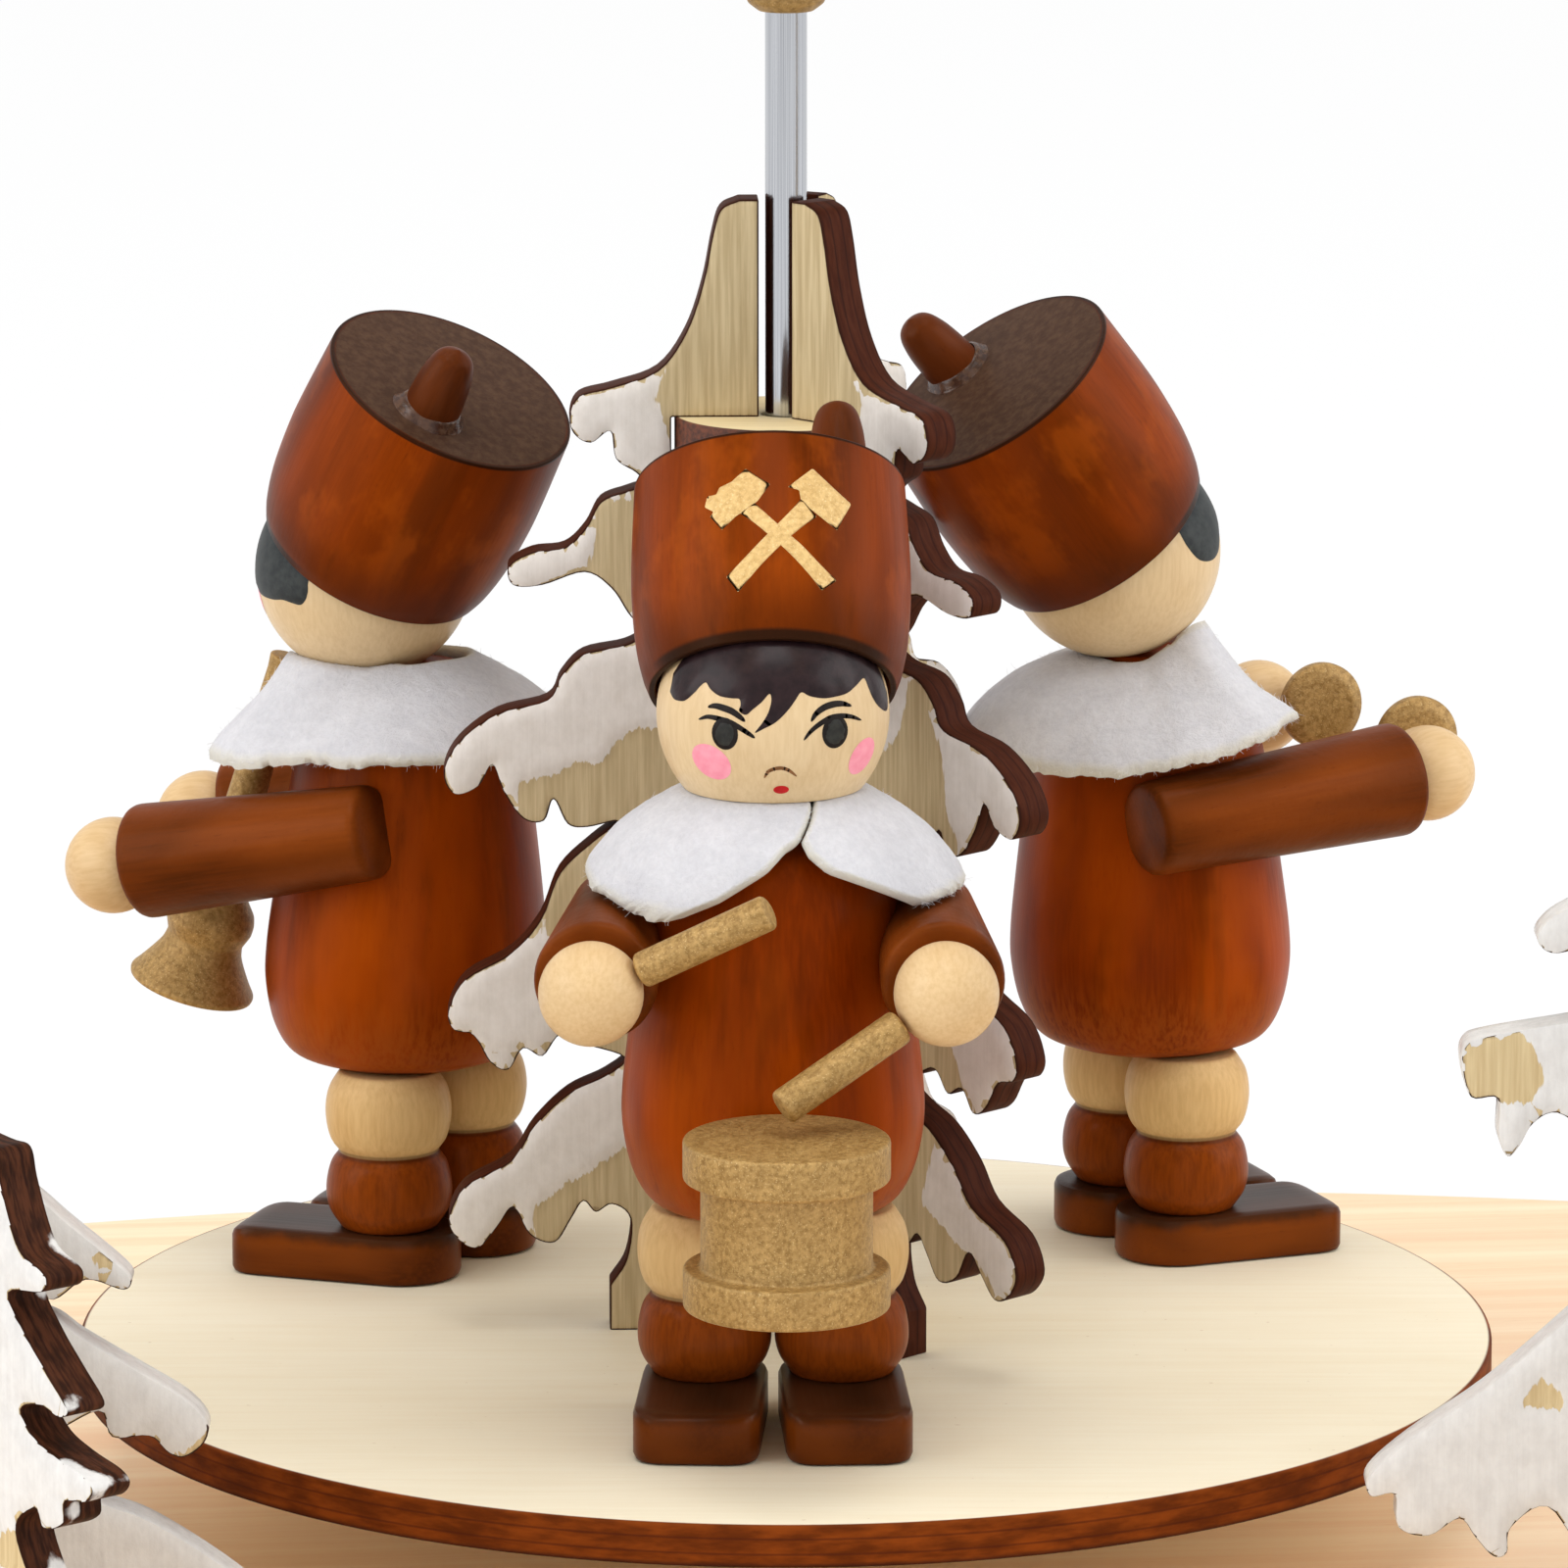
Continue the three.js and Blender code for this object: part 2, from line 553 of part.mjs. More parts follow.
// A thin board on a dowel along X, its faces level before the pitch is set.
function makeBlade() {
  const root = blade_root_width / 2;
  const tip = blade_tip_width / 2;
  const corner = blade_corner_radius;
  const outline = new THREE.Shape();
  outline.moveTo(blade_inner, -root);
  outline.lineTo(blade_outer - corner, -tip);
  outline.quadraticCurveTo(blade_outer, -tip, blade_outer, -tip + corner);
  outline.lineTo(blade_outer, tip - corner);
  outline.quadraticCurveTo(blade_outer, tip, blade_outer - corner, tip);
  outline.lineTo(blade_inner, root);
  const board = new THREE.ExtrudeGeometry(outline, {
    depth: blade_thickness, bevelEnabled: false, curveSegments: arc_steps,
  }).translate(0, 0, -blade_thickness / 2);
  const dowel_start = hub_radius - dowel_seat_depth + running_clearance;
  const dowel = rod(dowel_radius, dowel_start, blade_inner + dowel_into_blade, small_facets)
    .rotateY(RIGHT_ANGLE);
  return geometryOf(solidOf(board).add(solidOf(dowel)));
}

function addWheel(rotor) {
  add(rotor, "impeller_hub", makeHub(), gold_paint);
  add(rotor, "hub_rosette", makeRosette(), gold_paint);
  for (let i = 0; i < blade_count; i += 1) {
    const arm = new THREE.Group();
    arm.position.z = hub_axis_height;
    arm.rotation.z = (i * TURN) / blade_count;
    const blade = add(arm, "impeller_blade_" + (i + 1), makeBlade(), blade_wood);
    blade.rotation.x = blade_pitch;
    rotor.add(arm);
  }
}

// Figures. In a figure's own group +X is the way it faces and +Y is its left.

// A place on a figure from its shares.
function placeOn([forward, left, up]) {
  return new THREE.Vector3(forward * body_radius, left * body_radius, up * neck_height);
}

function makeShoe() {
  const half = shoe_width / 2;
  const heel_middle = half - shoe_heel_behind;
  const toe = shoe_length - shoe_heel_behind;
  const sole = new THREE.Shape();
  sole.moveTo(heel_middle, -half);
  sole.lineTo(toe - shoe_toe_corner, -half);
  sole.quadraticCurveTo(toe, -half, toe, -half + shoe_toe_corner);
  sole.lineTo(toe, half - shoe_toe_corner);
  sole.quadraticCurveTo(toe, half, toe - shoe_toe_corner, half);
  sole.lineTo(heel_middle, half);
  sole.absarc(heel_middle, 0, half, RIGHT_ANGLE, RIGHT_ANGLE + TURN / 2, false);
  return new THREE.ExtrudeGeometry(sole, {
    depth: shoe_height, bevelEnabled: false, curveSegments: arc_steps - 1,
  });
}

// A turned body, slanted evenly so that its seat is forward of its neck.
function bodyGeometry(swell, sway) {
  const forward = sway * body_radius;
  const slant = new THREE.Matrix4().makeShear(0, 0, 0, 0, -forward / body_height, 0);
  return turned(scaled(body_outline_shares, body_radius, body_height, swell), figure_facets)
    .applyMatrix4(slant)
    .translate(forward, 0, sole_to_seat);
}

// A ball with a flat on its underside, where it is glued on the neck.
function makeHead(above) {
  const profile = arc(head_radius, 0, Math.asin(-above / head_radius), RIGHT_ANGLE);
  profile[profile.length - 1][0] = 0;
  return turned([[0, -above], ...profile], figure_facets);
}

// A barrel hollowed below for the head, with a side peg on its top.
function makeHat(figure) {
  const bottom = hat_above_head_middle;
  const hollow = head_radius + glue_gap;
  const recess = arc(hollow, 0, RIGHT_ANGLE, Math.asin(bottom / hollow));
  recess[0][0] = 0;
  const barrel = scaled(hat_outline_shares, hat_radius, hat_height).map(([r, z]) => [r, z + bottom]);
  const hat = solidOf(turned([...recess, ...barrel], figure_facets));
  const [forward, left] = figure.peg.map((share) => share * hat_radius);
  const peg_shape = scaled(peg_outline_shares, peg_radius, figure.peg_height * peg_length + peg_seat);
  const peg = turned(peg_shape, small_facets)
    .translate(forward, left, bottom + hat_height - peg_seat);
  return geometryOf(hat.add(solidOf(peg)));
}

// A cone of felt with a wedge left open under the chin, cut away where a raised arm passes.
function makeCollar(figure) {
  const top = neck_height - collar_below_head;
  const edge = top - collar_drop;
  const slope = Math.atan2(collar_drop, collar_outer_radius - collar_inner_radius);
  const deep = felt_thickness / Math.cos(slope);
  const cone = turned([
    [collar_inner_radius, top - deep], [collar_outer_radius, edge - deep],
    [collar_outer_radius, edge], [collar_inner_radius, top], [collar_inner_radius, top - deep],
  ], figure_facets);
  const far = 2 * collar_outer_radius;
  const wide = far * Math.tan(collar_opening / 2);
  const wedge = plate(
    [[collar_inner_radius, 0], [collar_inner_radius + far, -wide], [collar_inner_radius + far, wide]],
    neck_height,
  ).translate(0, 0, edge - neck_height / 2);
  let collar = solidOf(cone).subtract(solidOf(wedge));
  for (const arm of [figure.left, figure.right])
    collar = collar.subtract(solidOf(armGeometry(arm, 2 * glue_gap)));
  return geometryOf(collar);
}

// A sleeve that widens to its cuff, with the ball of the hand seated in it.
function armGeometry(arm, swell) {
  const from = placeOn(arm.shoulder);
  const to = placeOn(arm.hand);
  const length = from.distanceTo(to);
  const cuff = length - hand_seat;
  const fist = hand_radius + swell;
  const ball = arc(fist, length, Math.asin(-hand_seat / fist), RIGHT_ANGLE);
  ball[ball.length - 1][0] = 0;
  const wide = sleeve_shoulder_radius + swell;
  const wider = sleeve_cuff_radius + swell;
  const sleeve = turned([
    [0, 0], [wide - sleeve_end_round, 0], [wide, sleeve_end_round],
    [wider, cuff - sleeve_end_round], [wider - sleeve_end_round / 2, cuff], ...ball,
  ], small_facets);
  return aimed(sleeve, from, to);
}

function makeArm(arm, sway) {
  return geometryOf(solidOf(armGeometry(arm, 0)).subtract(solidOf(bodyGeometry(glue_gap, sway))));
}

function addFigure(rotor, name) {
  const figure = figure_shares[name];
  const turns = figure_turns[name];
  const stand = figure.stand * disc_radius;
  const [forward, above] = figure.head.map((share) => share * head_radius);
  const group = new THREE.Group();
  group.position.set(stand * Math.cos(turns.stand), stand * Math.sin(turns.stand), disc_top);
  group.rotation.z = turns.facing;
  for (const [side, left] of [["left", 1], ["right", -1]]) {
    const across = left * stance_half;
    const foot = figure.feet[side] * body_radius;
    const shoe = add(group, name + "_shoe_" + side, makeShoe(), dark_brown);
    shoe.position.set(foot, across, 0);
    shoe.rotation.z = left * turns.toes;
    const leg = turned(scaled(leg_outline_shares, leg_radius, leg_height), small_facets);
    add(group, name + "_leg_" + side, leg, natural_wood).position.set(foot, across, shoe_height);
    add(group, name + "_arm_" + side, makeArm(figure[side], figure.sway), brown_stain);
  }
  add(group, name + "_body", bodyGeometry(0, figure.sway), brown_stain);
  add(group, name + "_collar", makeCollar(figure), white_felt);
  const head = add(group, name + "_head", makeHead(above), natural_wood);
  head.position.set(forward, 0, neck_height + above);
  const hat = add(group, name + "_hat", makeHat(figure), brown_stain);
  hat.position.copy(head.position);
  hat.rotation.set(-turns.lean, -turns.tilt, 0);
  rotor.add(group);
  return group;
}

// Instruments

function addDrum(group) {
  const half = drum_height - drum_rim_height;
  const drum = turned([
    [0, 0], [drum_rim_radius, 0], [drum_rim_radius, drum_rim_height],
    [drum_shell_radius, drum_rim_height], [drum_shell_radius, half],
    [drum_rim_radius, half], [drum_rim_radius, drum_height], [0, drum_height],
  ], fine_facets);
  const forward = body_radius + drum_rim_radius + running_clearance;
  add(group, "drum", drum, gold_paint).position.set(forward, drum_aside, drum_bottom);
}

// The right stick is raised, and the left one comes down to just above the drum's head.
function addDrumsticks(group) {
  for (const side of ["left", "right"]) {
    const hand = placeOn(figure_shares.drummer[side].hand);
    const tip = placeOn(stick_tip_shares[side]);
    const stick = rod(stick_radius, hand_radius + glue_gap, hand.distanceTo(tip), small_facets);
    add(group, "drumstick_" + side, aimed(stick, hand, tip), gold_paint);
  }
}

// The horn runs from under the chin, forwards and down to its bell.
function addHorn(group) {
  const mouth = placeOn(horn_mouth_shares);
  const down = new THREE.Vector3(Math.sin(horn_slope), 0, -Math.cos(horn_slope));
  const horn = turned(scaled(horn_outline_shares, horn_bell_radius, horn_length), small_facets);
  add(group, "horn", aimed(horn, mouth, mouth.clone().add(down)), gold_paint);
}

// Each cymbal stands on edge on the inner side of the hand that holds it.
function addCymbals(group) {
  const half = cymbal_thickness / 2;
  for (const [side, inward] of [["left", -1], ["right", 1]]) {
    const place = placeOn(figure_shares.cymbal_player[side].hand);
    const [forward, up] = cymbal_shares[side];
    place.x += forward * cymbal_radius;
    place.y += inward * (hand_radius + half + glue_gap);
    place.z += up * cymbal_radius;
    const disc = turned([
      [0, -half], [cymbal_radius - half, -half], [cymbal_radius, -half / 2],
      [cymbal_radius, half / 2], [cymbal_radius - half, half], [0, half],
    ], figure_facets).rotateX(RIGHT_ANGLE);
    add(group, "cymbal_" + side, disc, gold_paint).position.copy(place);
  }
}

// The whole object

const carousel = new THREE.Group();

const base = new THREE.Group();
add(base, "base_board", makeBoard(), pale_board);
add(base, "pivot_needle", makeNeedle(), bright_steel);
for (const [side, direction] of [["left", -1], ["right", 1]]) {
  const cup = add(base, "tealight_cup_" + side, makeTealightCup(), brass);
  cup.position.set(direction * (board_length / 2 - cup_from_end), cup_behind_middle, board_top);
  addSideTree(base, side);
}
carousel.add(base);

const rotor = new THREE.Group();
rotor.rotation.z = display_turn;
addDisc(rotor);
addTree(rotor);
addWheel(rotor);
const drummer = addFigure(rotor, "drummer");
addDrum(drummer);
addDrumsticks(drummer);
addHorn(addFigure(rotor, "horn_player"));
addCymbals(addFigure(rotor, "cymbal_player"));
carousel.add(rotor);

export default carousel;
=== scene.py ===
# The finish of the candle carousel: turned and stained figures, laser-cut ply trees with brushed
# snow, felt collars, gilt instruments, steel and brass fittings, and the wheel's wooden blades.
# Sizes are in millimetres in the same frame as the solids, and become metres in make().
import math

import bmesh
import bpy
import numpy as np
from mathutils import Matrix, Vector
from mathutils.geometry import delaunay_2d_cdt


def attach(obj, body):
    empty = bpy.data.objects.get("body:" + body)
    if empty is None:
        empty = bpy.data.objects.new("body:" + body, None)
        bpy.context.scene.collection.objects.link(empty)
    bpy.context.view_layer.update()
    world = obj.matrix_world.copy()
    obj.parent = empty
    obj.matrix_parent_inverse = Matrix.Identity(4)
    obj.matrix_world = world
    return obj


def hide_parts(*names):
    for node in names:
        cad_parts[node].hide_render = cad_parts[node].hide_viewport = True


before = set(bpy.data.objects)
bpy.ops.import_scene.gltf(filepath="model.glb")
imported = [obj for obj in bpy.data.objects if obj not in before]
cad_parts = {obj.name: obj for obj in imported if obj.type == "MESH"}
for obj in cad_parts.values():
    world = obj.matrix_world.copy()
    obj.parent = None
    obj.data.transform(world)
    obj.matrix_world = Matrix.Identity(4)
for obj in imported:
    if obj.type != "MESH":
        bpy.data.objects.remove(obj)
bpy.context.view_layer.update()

# Sizes, as in the part's source

BOARD_TOP, BOARD_LENGTH, BOARD_WIDTH, BOARD_EASE = 12.0, 314.0, 174.0, 2.5
CUP_SPOT, CUP_RADIUS, CUP_BORE, CUP_LIP, CUP_TALL = (118.0, 14.0), 21.0, 20.0, 22.6, 14.0
PLY = 3.0
DISC_BOTTOM, DISC_TOP, DISC_RADIUS = 21.0, 24.0, 51.5
TREE_HEIGHT, TREE_RADIUS, PLATE_TOP, PLATE_RADIUS = 83.0, 25.0, 0.812 * 83.0, 8.0
HUB_BOTTOM, HUB_HEIGHT, HUB_RADIUS, HUB_AXIS = 120.2, 74.8, 11.0, 174.0
BLADE_ROOT, BLADE_TIP, BLADE_PITCH, BLADE_COUNT = (18.0, 7.5), (118.0, 19.0), 35.0, 6
NEEDLE_RADIUS, TUBE_INNER, TUBE_RADIUS, TUBE_BORE = 0.8, 1.1, 1.5, 1.8
TUBE_BOTTOM, TUBE_TOP = 17.0, 174.35
NECK, HEAD, BODY, BODY_TALL = 45.6, 8.05, 10.5, 30.0
HAT_RADIUS, HAT_LOW, HAT_TALL, PEG_RADIUS, PEG_TALL = 9.7, 1.65, 15.4, 2.1, 5.8
LEG_RADIUS, LEG_TALL, SHOE_TALL, HAND, SLEEVE = 4.7, 11.9, 3.7, 3.6, (3.5, 4.3)
COLLAR_INNER, FELT = 3.95, 1.0


# Placing

def shift(x, y, z):
    """A move by x, y, z."""
    m = np.eye(4)
    m[:3, 3] = x, y, z
    return m


def turn(axis, degrees):
    """A right-handed turn about one of the axes "x", "y" and "z"."""
    c, s = math.cos(math.radians(degrees)), math.sin(math.radians(degrees))
    i, j = {"x": (1, 2), "y": (2, 0), "z": (0, 1)}[axis]
    m = np.eye(4)
    m[i, i] = m[j, j] = c
    m[i, j], m[j, i] = -s, s
    return m


def aim(start, end):
    """Carries the origin to start and +Z onto the line from start to end."""
    up = np.subtract(end, start) / np.linalg.norm(np.subtract(end, start))
    side = np.cross(up, (0.0, 0.0, 1.0) if abs(up[2]) < 0.9 else (1.0, 0.0, 0.0))
    side /= np.linalg.norm(side)
    m = np.eye(4)
    m[:3, 0], m[:3, 1], m[:3, 2], m[:3, 3] = np.cross(side, up), side, up, start
    m[:3, 0] = np.cross(m[:3, 1], m[:3, 2])
    return m


def moved(points, place):
    """Points carried by a 4 x 4 placing."""
    return points @ place[:3, :3].T + place[:3, 3]


ROTOR = turn("z", -6.0)


# Lines

def smooth(points, per=6, closed=False):
    """A smooth line through points: on each span the cubic whose end slopes run between the
    neighbouring points, sampled per times."""
    p = np.asarray(points, float)
    if closed:
        q = np.vstack([p[-1:], p, p[:2]])
    else:
        q = np.vstack([2 * p[:1] - p[1:2], p, 2 * p[-1:] - p[-2:-1]])
    t = (np.arange(per) / per)[None, :, None]
    a, b, c, d = (q[i:len(q) - 3 + i, None] for i in range(4))
    line = 0.5 * (2 * b + (c - a) * t + (2 * a - 5 * b + 4 * c - d) * t**2 + (3 * b - a - 3 * c + d) * t**3)
    line = line.reshape(-1, p.shape[1])
    return line if closed else np.vstack([line, p[-1:]])


def cut_back(line, start, end):
    """A line without its first start and its last end millimetres, measured along it."""
    along = np.r_[0, np.cumsum(np.linalg.norm(np.diff(line, axis=0), axis=1))]
    keep = (along > start + 1e-4) & (along < along[-1] - end - 1e-4)
    at = np.r_[start, along[keep], along[-1] - end]
    return np.stack([np.interp(at, along, line[:, k]) for k in range(line.shape[1])], 1)


def joined(*runs, ease=0.15, per=8, closed=False):
    """Runs of points joined end to end. A run of three or more points is a smooth line, and a run
    of two is straight. Where runs meet, the corner is eased by a quadratic curve that leaves each
    run ease millimetres before it."""
    lines = [smooth(run, per) if len(run) > 2 else np.asarray(run, float) for run in runs]
    count = len(lines)
    out = []
    t = np.linspace(0, 1, 5)[1:-1, None]
    for i, line in enumerate(lines):
        first, last = (closed or i > 0), (closed or i < count - 1)
        length = np.linalg.norm(np.diff(line, axis=0), axis=1).sum()
        e = min(ease, length / 3)
        out.append(cut_back(line, e if first else 0, e if last else 0))
    pieces = []
    for i, line in enumerate(out):
        pieces.append(line)
        if closed or i < count - 1:
            corner, onward = lines[i][-1], out[(i + 1) % count][0]
            pieces.append((1 - t)**2 * line[-1] + 2 * t * (1 - t) * corner + t**2 * onward)
    return np.vstack(pieces)


def corners(*points, ease, closed=False):
    """Straight runs between corners, each corner eased."""
    points = [list(p) for p in points]
    ends = points[1:] + points[:1] if closed else points[1:]
    return joined(*([a, b] for a, b in zip(points, ends)), ease=ease, closed=closed)


def shares(text, width, height):
    """Points written as "r,z r,z ..." in shares of a width and a height."""
    return np.array([[float(n) for n in pair.split(",")] for pair in text.split()]) * (width, height)


def round_arc(radius, middle, start, end, steps=24):
    """[radius, height] points on a circle about the axis, between two angles above level."""
    a = np.radians(np.linspace(start, end, steps + 1))
    return np.stack([radius * np.cos(a), middle + radius * np.sin(a)], 1)


# Pieces

class Piece:
    """Surfaces gathered for one piece. Each vertex keeps "own", its place in the piece's own
    millimetres, for grain and painted bands, "edge", how burnt the cut is there, and "snow", the
    distance inside the brushed snow's border."""

    def __init__(self, name):
        self.name, self.points, self.own, self.edge, self.snow = name, [], [], [], []
        self.faces, self.finish, self.count = [], [], 0

    def add(self, own, faces, place, finish=0, edge=0.0, snow=-1.0):
        """Points in the piece's own millimetres and their faces, carried by a placing."""
        own = np.asarray(own, float).reshape(-1, 3)
        self.points.append(moved(own, place))
        self.own.append(own)
        self.edge.append(np.broadcast_to(edge, len(own)))
        self.snow.append(np.broadcast_to(snow, len(own)))
        self.faces.append(np.asarray(faces) + self.count)
        self.finish.append(np.full(len(faces), finish))
        self.count += len(own)
        return self

    def grid(self, own, place=np.eye(4), wrap=(False, False), **more):
        """A surface on a grid of two parameters: quads between neighbouring points."""
        rows, columns = own.shape[:2]
        i = np.arange(rows if wrap[0] else rows - 1)[:, None]
        j = np.arange(columns if wrap[1] else columns - 1)[None]
        i, j = np.broadcast_arrays(i, j)
        k, l = (i + 1) % rows, (j + 1) % columns
        quads = np.stack([i * columns + j, i * columns + l, k * columns + l, k * columns + j], -1)
        more = {key: np.asarray(v).reshape(-1) if np.ndim(v) else v for key, v in more.items()}
        return self.add(own, quads.reshape(-1, 4), place, **more)

    def turned(self, line, place=np.eye(4), around=72, closed=False, **more):
        """A profile of [radius, height] carried round Z: (r cos a, r sin a, z)."""
        a = np.linspace(0, 2 * math.pi, around, endpoint=False)
        r, z = line[:, :1], line[:, 1:]
        own = np.stack([r * np.cos(a), r * np.sin(a), z + 0 * a], -1)
        return self.grid(own, place, (closed, True), **more)

    def make(self, body, slot, finishes, replaces="", sharp=38.0):
        """The mesh in metres, doubles merged and faces outwards, riding on its body. The names of
        its finishes are parted by spaces."""
        points = np.vstack(self.points) * 0.001
        mesh = bpy.data.meshes.new(self.name)
        mesh.from_pydata(points.tolist(), [], [face for part in self.faces for face in part.tolist()])
        own = mesh.attributes.new("own", "FLOAT_VECTOR", "POINT")
        own.data.foreach_set("vector", np.vstack(self.own).astype(np.float32).ravel())
        for key, values in (("edge", self.edge), ("snow", self.snow)):
            mesh.attributes.new(key, "FLOAT", "POINT").data.foreach_set(
                "value", np.concatenate(values).astype(np.float32))
        mesh.polygons.foreach_set("material_index", np.concatenate(self.finish).astype(np.int32))
        work = bmesh.new()
        work.from_mesh(mesh)
        bmesh.ops.remove_doubles(work, verts=work.verts, dist=2e-7)
        bmesh.ops.dissolve_degenerate(work, edges=work.edges, dist=1e-8)
        bmesh.ops.recalc_face_normals(work, faces=work.faces)
        work.to_mesh(mesh)
        work.free()
        mesh.shade_smooth()
        mesh.set_sharp_from_angle(angle=math.radians(sharp))
        piece = bpy.data.objects.new(self.name, mesh)
        bpy.context.scene.collection.objects.link(piece)
        for finish in finishes.split():
            mesh.materials.append(FINISH[finish])
        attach(piece, body)
        if replaces:
            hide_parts(replaces)
        return piece


# Flat shapes cut from outlines

def distances(points, outline):
    """How far each point is from a closed outline, and whether it is inside: the nearest of all
    the outline's segments, and the count of segments crossed by a ray along +X."""
    a, b = outline, np.roll(outline, -1, 0)
    far = np.empty(len(points))
    inside = np.empty(len(points), bool)
    ab = b - a
    length = np.maximum((ab**2).sum(1), 1e-12)
    for start in range(0, len(points), 4000):
        p = points[start:start + 4000, None]
        t = np.clip(((p - a) * ab).sum(2) / length, 0, 1)
        far[start:start + 4000] = np.sqrt(((a + ab * t[..., None] - p)**2).sum(2).min(1))
        up = (a[:, 1] > p[..., 1]) != (b[:, 1] > p[..., 1])
        rise = np.where(np.abs(ab[:, 1]) < 1e-12, 1e-12, ab[:, 1])
        cross = p[..., 0] < a[:, 0] + (p[..., 1] - a[:, 1]) * ab[:, 0] / rise
        inside[start:start + 4000] = (up & cross).sum(1) % 2 == 1
    return far, inside


def filled(outline, spacing):
    """Triangles that fill a closed outline, with inner points on a staggered grid, and each
    point's distance from the outline."""
    low, high = outline.min(0), outline.max(0)
    rows = np.arange(low[1], high[1], spacing * 0.866)
    columns = np.arange(low[0], high[0], spacing)
    x, y = np.meshgrid(columns, rows)
    x = x + spacing / 2 * (np.arange(len(rows)) % 2)[:, None]
    inner = np.stack([x.ravel(), y.ravel()], 1)
    far, inside = distances(inner, outline)
    inner = inner[inside & (far > 0.35 * spacing)]
    every = np.vstack([outline, inner])
    loop = list(range(len(outline)))
    edges = [(i, (i + 1) % len(outline)) for i in loop]
    points, _, faces, *_ = delaunay_2d_cdt([Vector(p) for p in every.tolist()], edges, [loop], 1, 1e-7)
    points = np.array([tuple(p) for p in points])
    return points, np.array([f for f in faces if len(f) == 3]), distances(points, outline)[0]


def outward(outline):
    """Unit normals of a closed outline, away from its inside."""
    along = np.roll(outline, -1, 0) - np.roll(outline, 1, 0)
    normal = np.stack([along[:, 1], -along[:, 0]], 1)
    area = (outline[:, 0] * np.roll(outline[:, 1], -1) - np.roll(outline[:, 0], -1) * outline[:, 1]).sum()
    normal /= np.maximum(np.linalg.norm(normal, axis=1), 1e-9)[:, None]
    return normal if area > 0 else -normal


def eased(u):
    """0 below 0, 1 above 1, and a smooth step between."""
    u = np.clip(u, 0, 1)
    return u * u * (3 - 2 * u)


def cut_board(piece, outline, thickness, place, spacing=1.0, ease=0.12, snow=None, wall_snow=(-1.0, 0.0)):
    """A board cut from a closed outline: both faces filled, and a wall carried round the outline
    whose section has eased edges and is scorched up to the faces. snow(points, side) gives the
    distance inside the snow's border on each face, and the paint swells to 0.2 mm there. On the
    wall that distance is wall_snow[0], plus wall_snow[1] times how far the wall faces up."""
    half = thickness / 2
    normal = outward(outline)
    section = np.array([[ease, half], [0.3 * ease, half - 0.3 * ease], [0, half - ease]])
    section = np.vstack([section, [[0, half / 3], [0, -half / 3]], section[::-1] * (1, -1)])
    rim = outline[None] - normal[None] * section[:, 0][:, None, None]
    wall = np.concatenate([rim, np.broadcast_to(section[:, 1][:, None, None], rim.shape[:2] + (1,))], 2)
    scorch = np.r_[0.45, 1, 1, 1, 1, 1, 1, 0.45][:, None] + 0 * wall[..., 0]
    lying = wall_snow[0] + wall_snow[1] * normal[:, 1] + 0 * scorch
    piece.grid(wall, place, (False, True), edge=scorch, snow=lying)
    inner = outline - normal * ease
    points, faces, far = filled(inner, spacing)
    for side, flip in ((1, 1), (-1, -1)):
        inside = snow(points, side) if snow else np.full(len(points), -1.0)
        swell = 0.2 * eased(inside / 0.6 + 0.2) * eased(far / 0.5)
        own = np.column_stack([points, side * (half + swell)])
        piece.add(own, faces[:, ::flip], place, edge=0.45 * (far < 1e-4), snow=inside)
    return piece


def painted(piece, outline, onto, finish=0, rise=0.07, spacing=0.5, soft=0.35):
    """A patch of paint: an outline in a chart of millimetres, filled, lifted by onto(x, y, lift)
    to rise inside its border, with a back just under the surface, so that the shell is closed."""
    points, faces, far = filled(np.asarray(outline, float), spacing)
    top = onto(points[:, 0], points[:, 1], 0.012 + rise * eased(far / soft))
    border = far < 1e-4
    back = onto(points[:, 0], points[:, 1], np.where(border, 0.012, -0.06))
    piece.add(top, faces, np.eye(4), finish=finish)
    piece.add(back, faces[:, ::-1], np.eye(4), finish=finish)
    return piece


def stroke(points, width, per=6):
    """The outline of a brush stroke along points, widest in its middle and pointed at its ends."""
    line = smooth(points, per)
    along = np.gradient(line, axis=0)
    along /= np.linalg.norm(along, axis=1)[:, None]
    side = np.stack([-along[:, 1], along[:, 0]], 1)
    u = np.linspace(0, 1, len(line))
    half = width / 2 * np.sqrt(np.clip(1 - (2 * u - 1)**2, 0.0, 1))[:, None] + 0.02
    return np.vstack([line + side * half, (line - side * half)[::-1]])


def oval(x, y, half_width, half_height, lean=0.0, count=28):
    """A closed oval outline."""
    a = np.linspace(0, 2 * math.pi, count, endpoint=False)
    c, s = math.cos(math.radians(lean)), math.sin(math.radians(lean))
    u, v = half_width * np.cos(a), half_height * np.sin(a)
    return np.stack([x + u * c - v * s, y + u * s + v * c], 1)


# Finishes

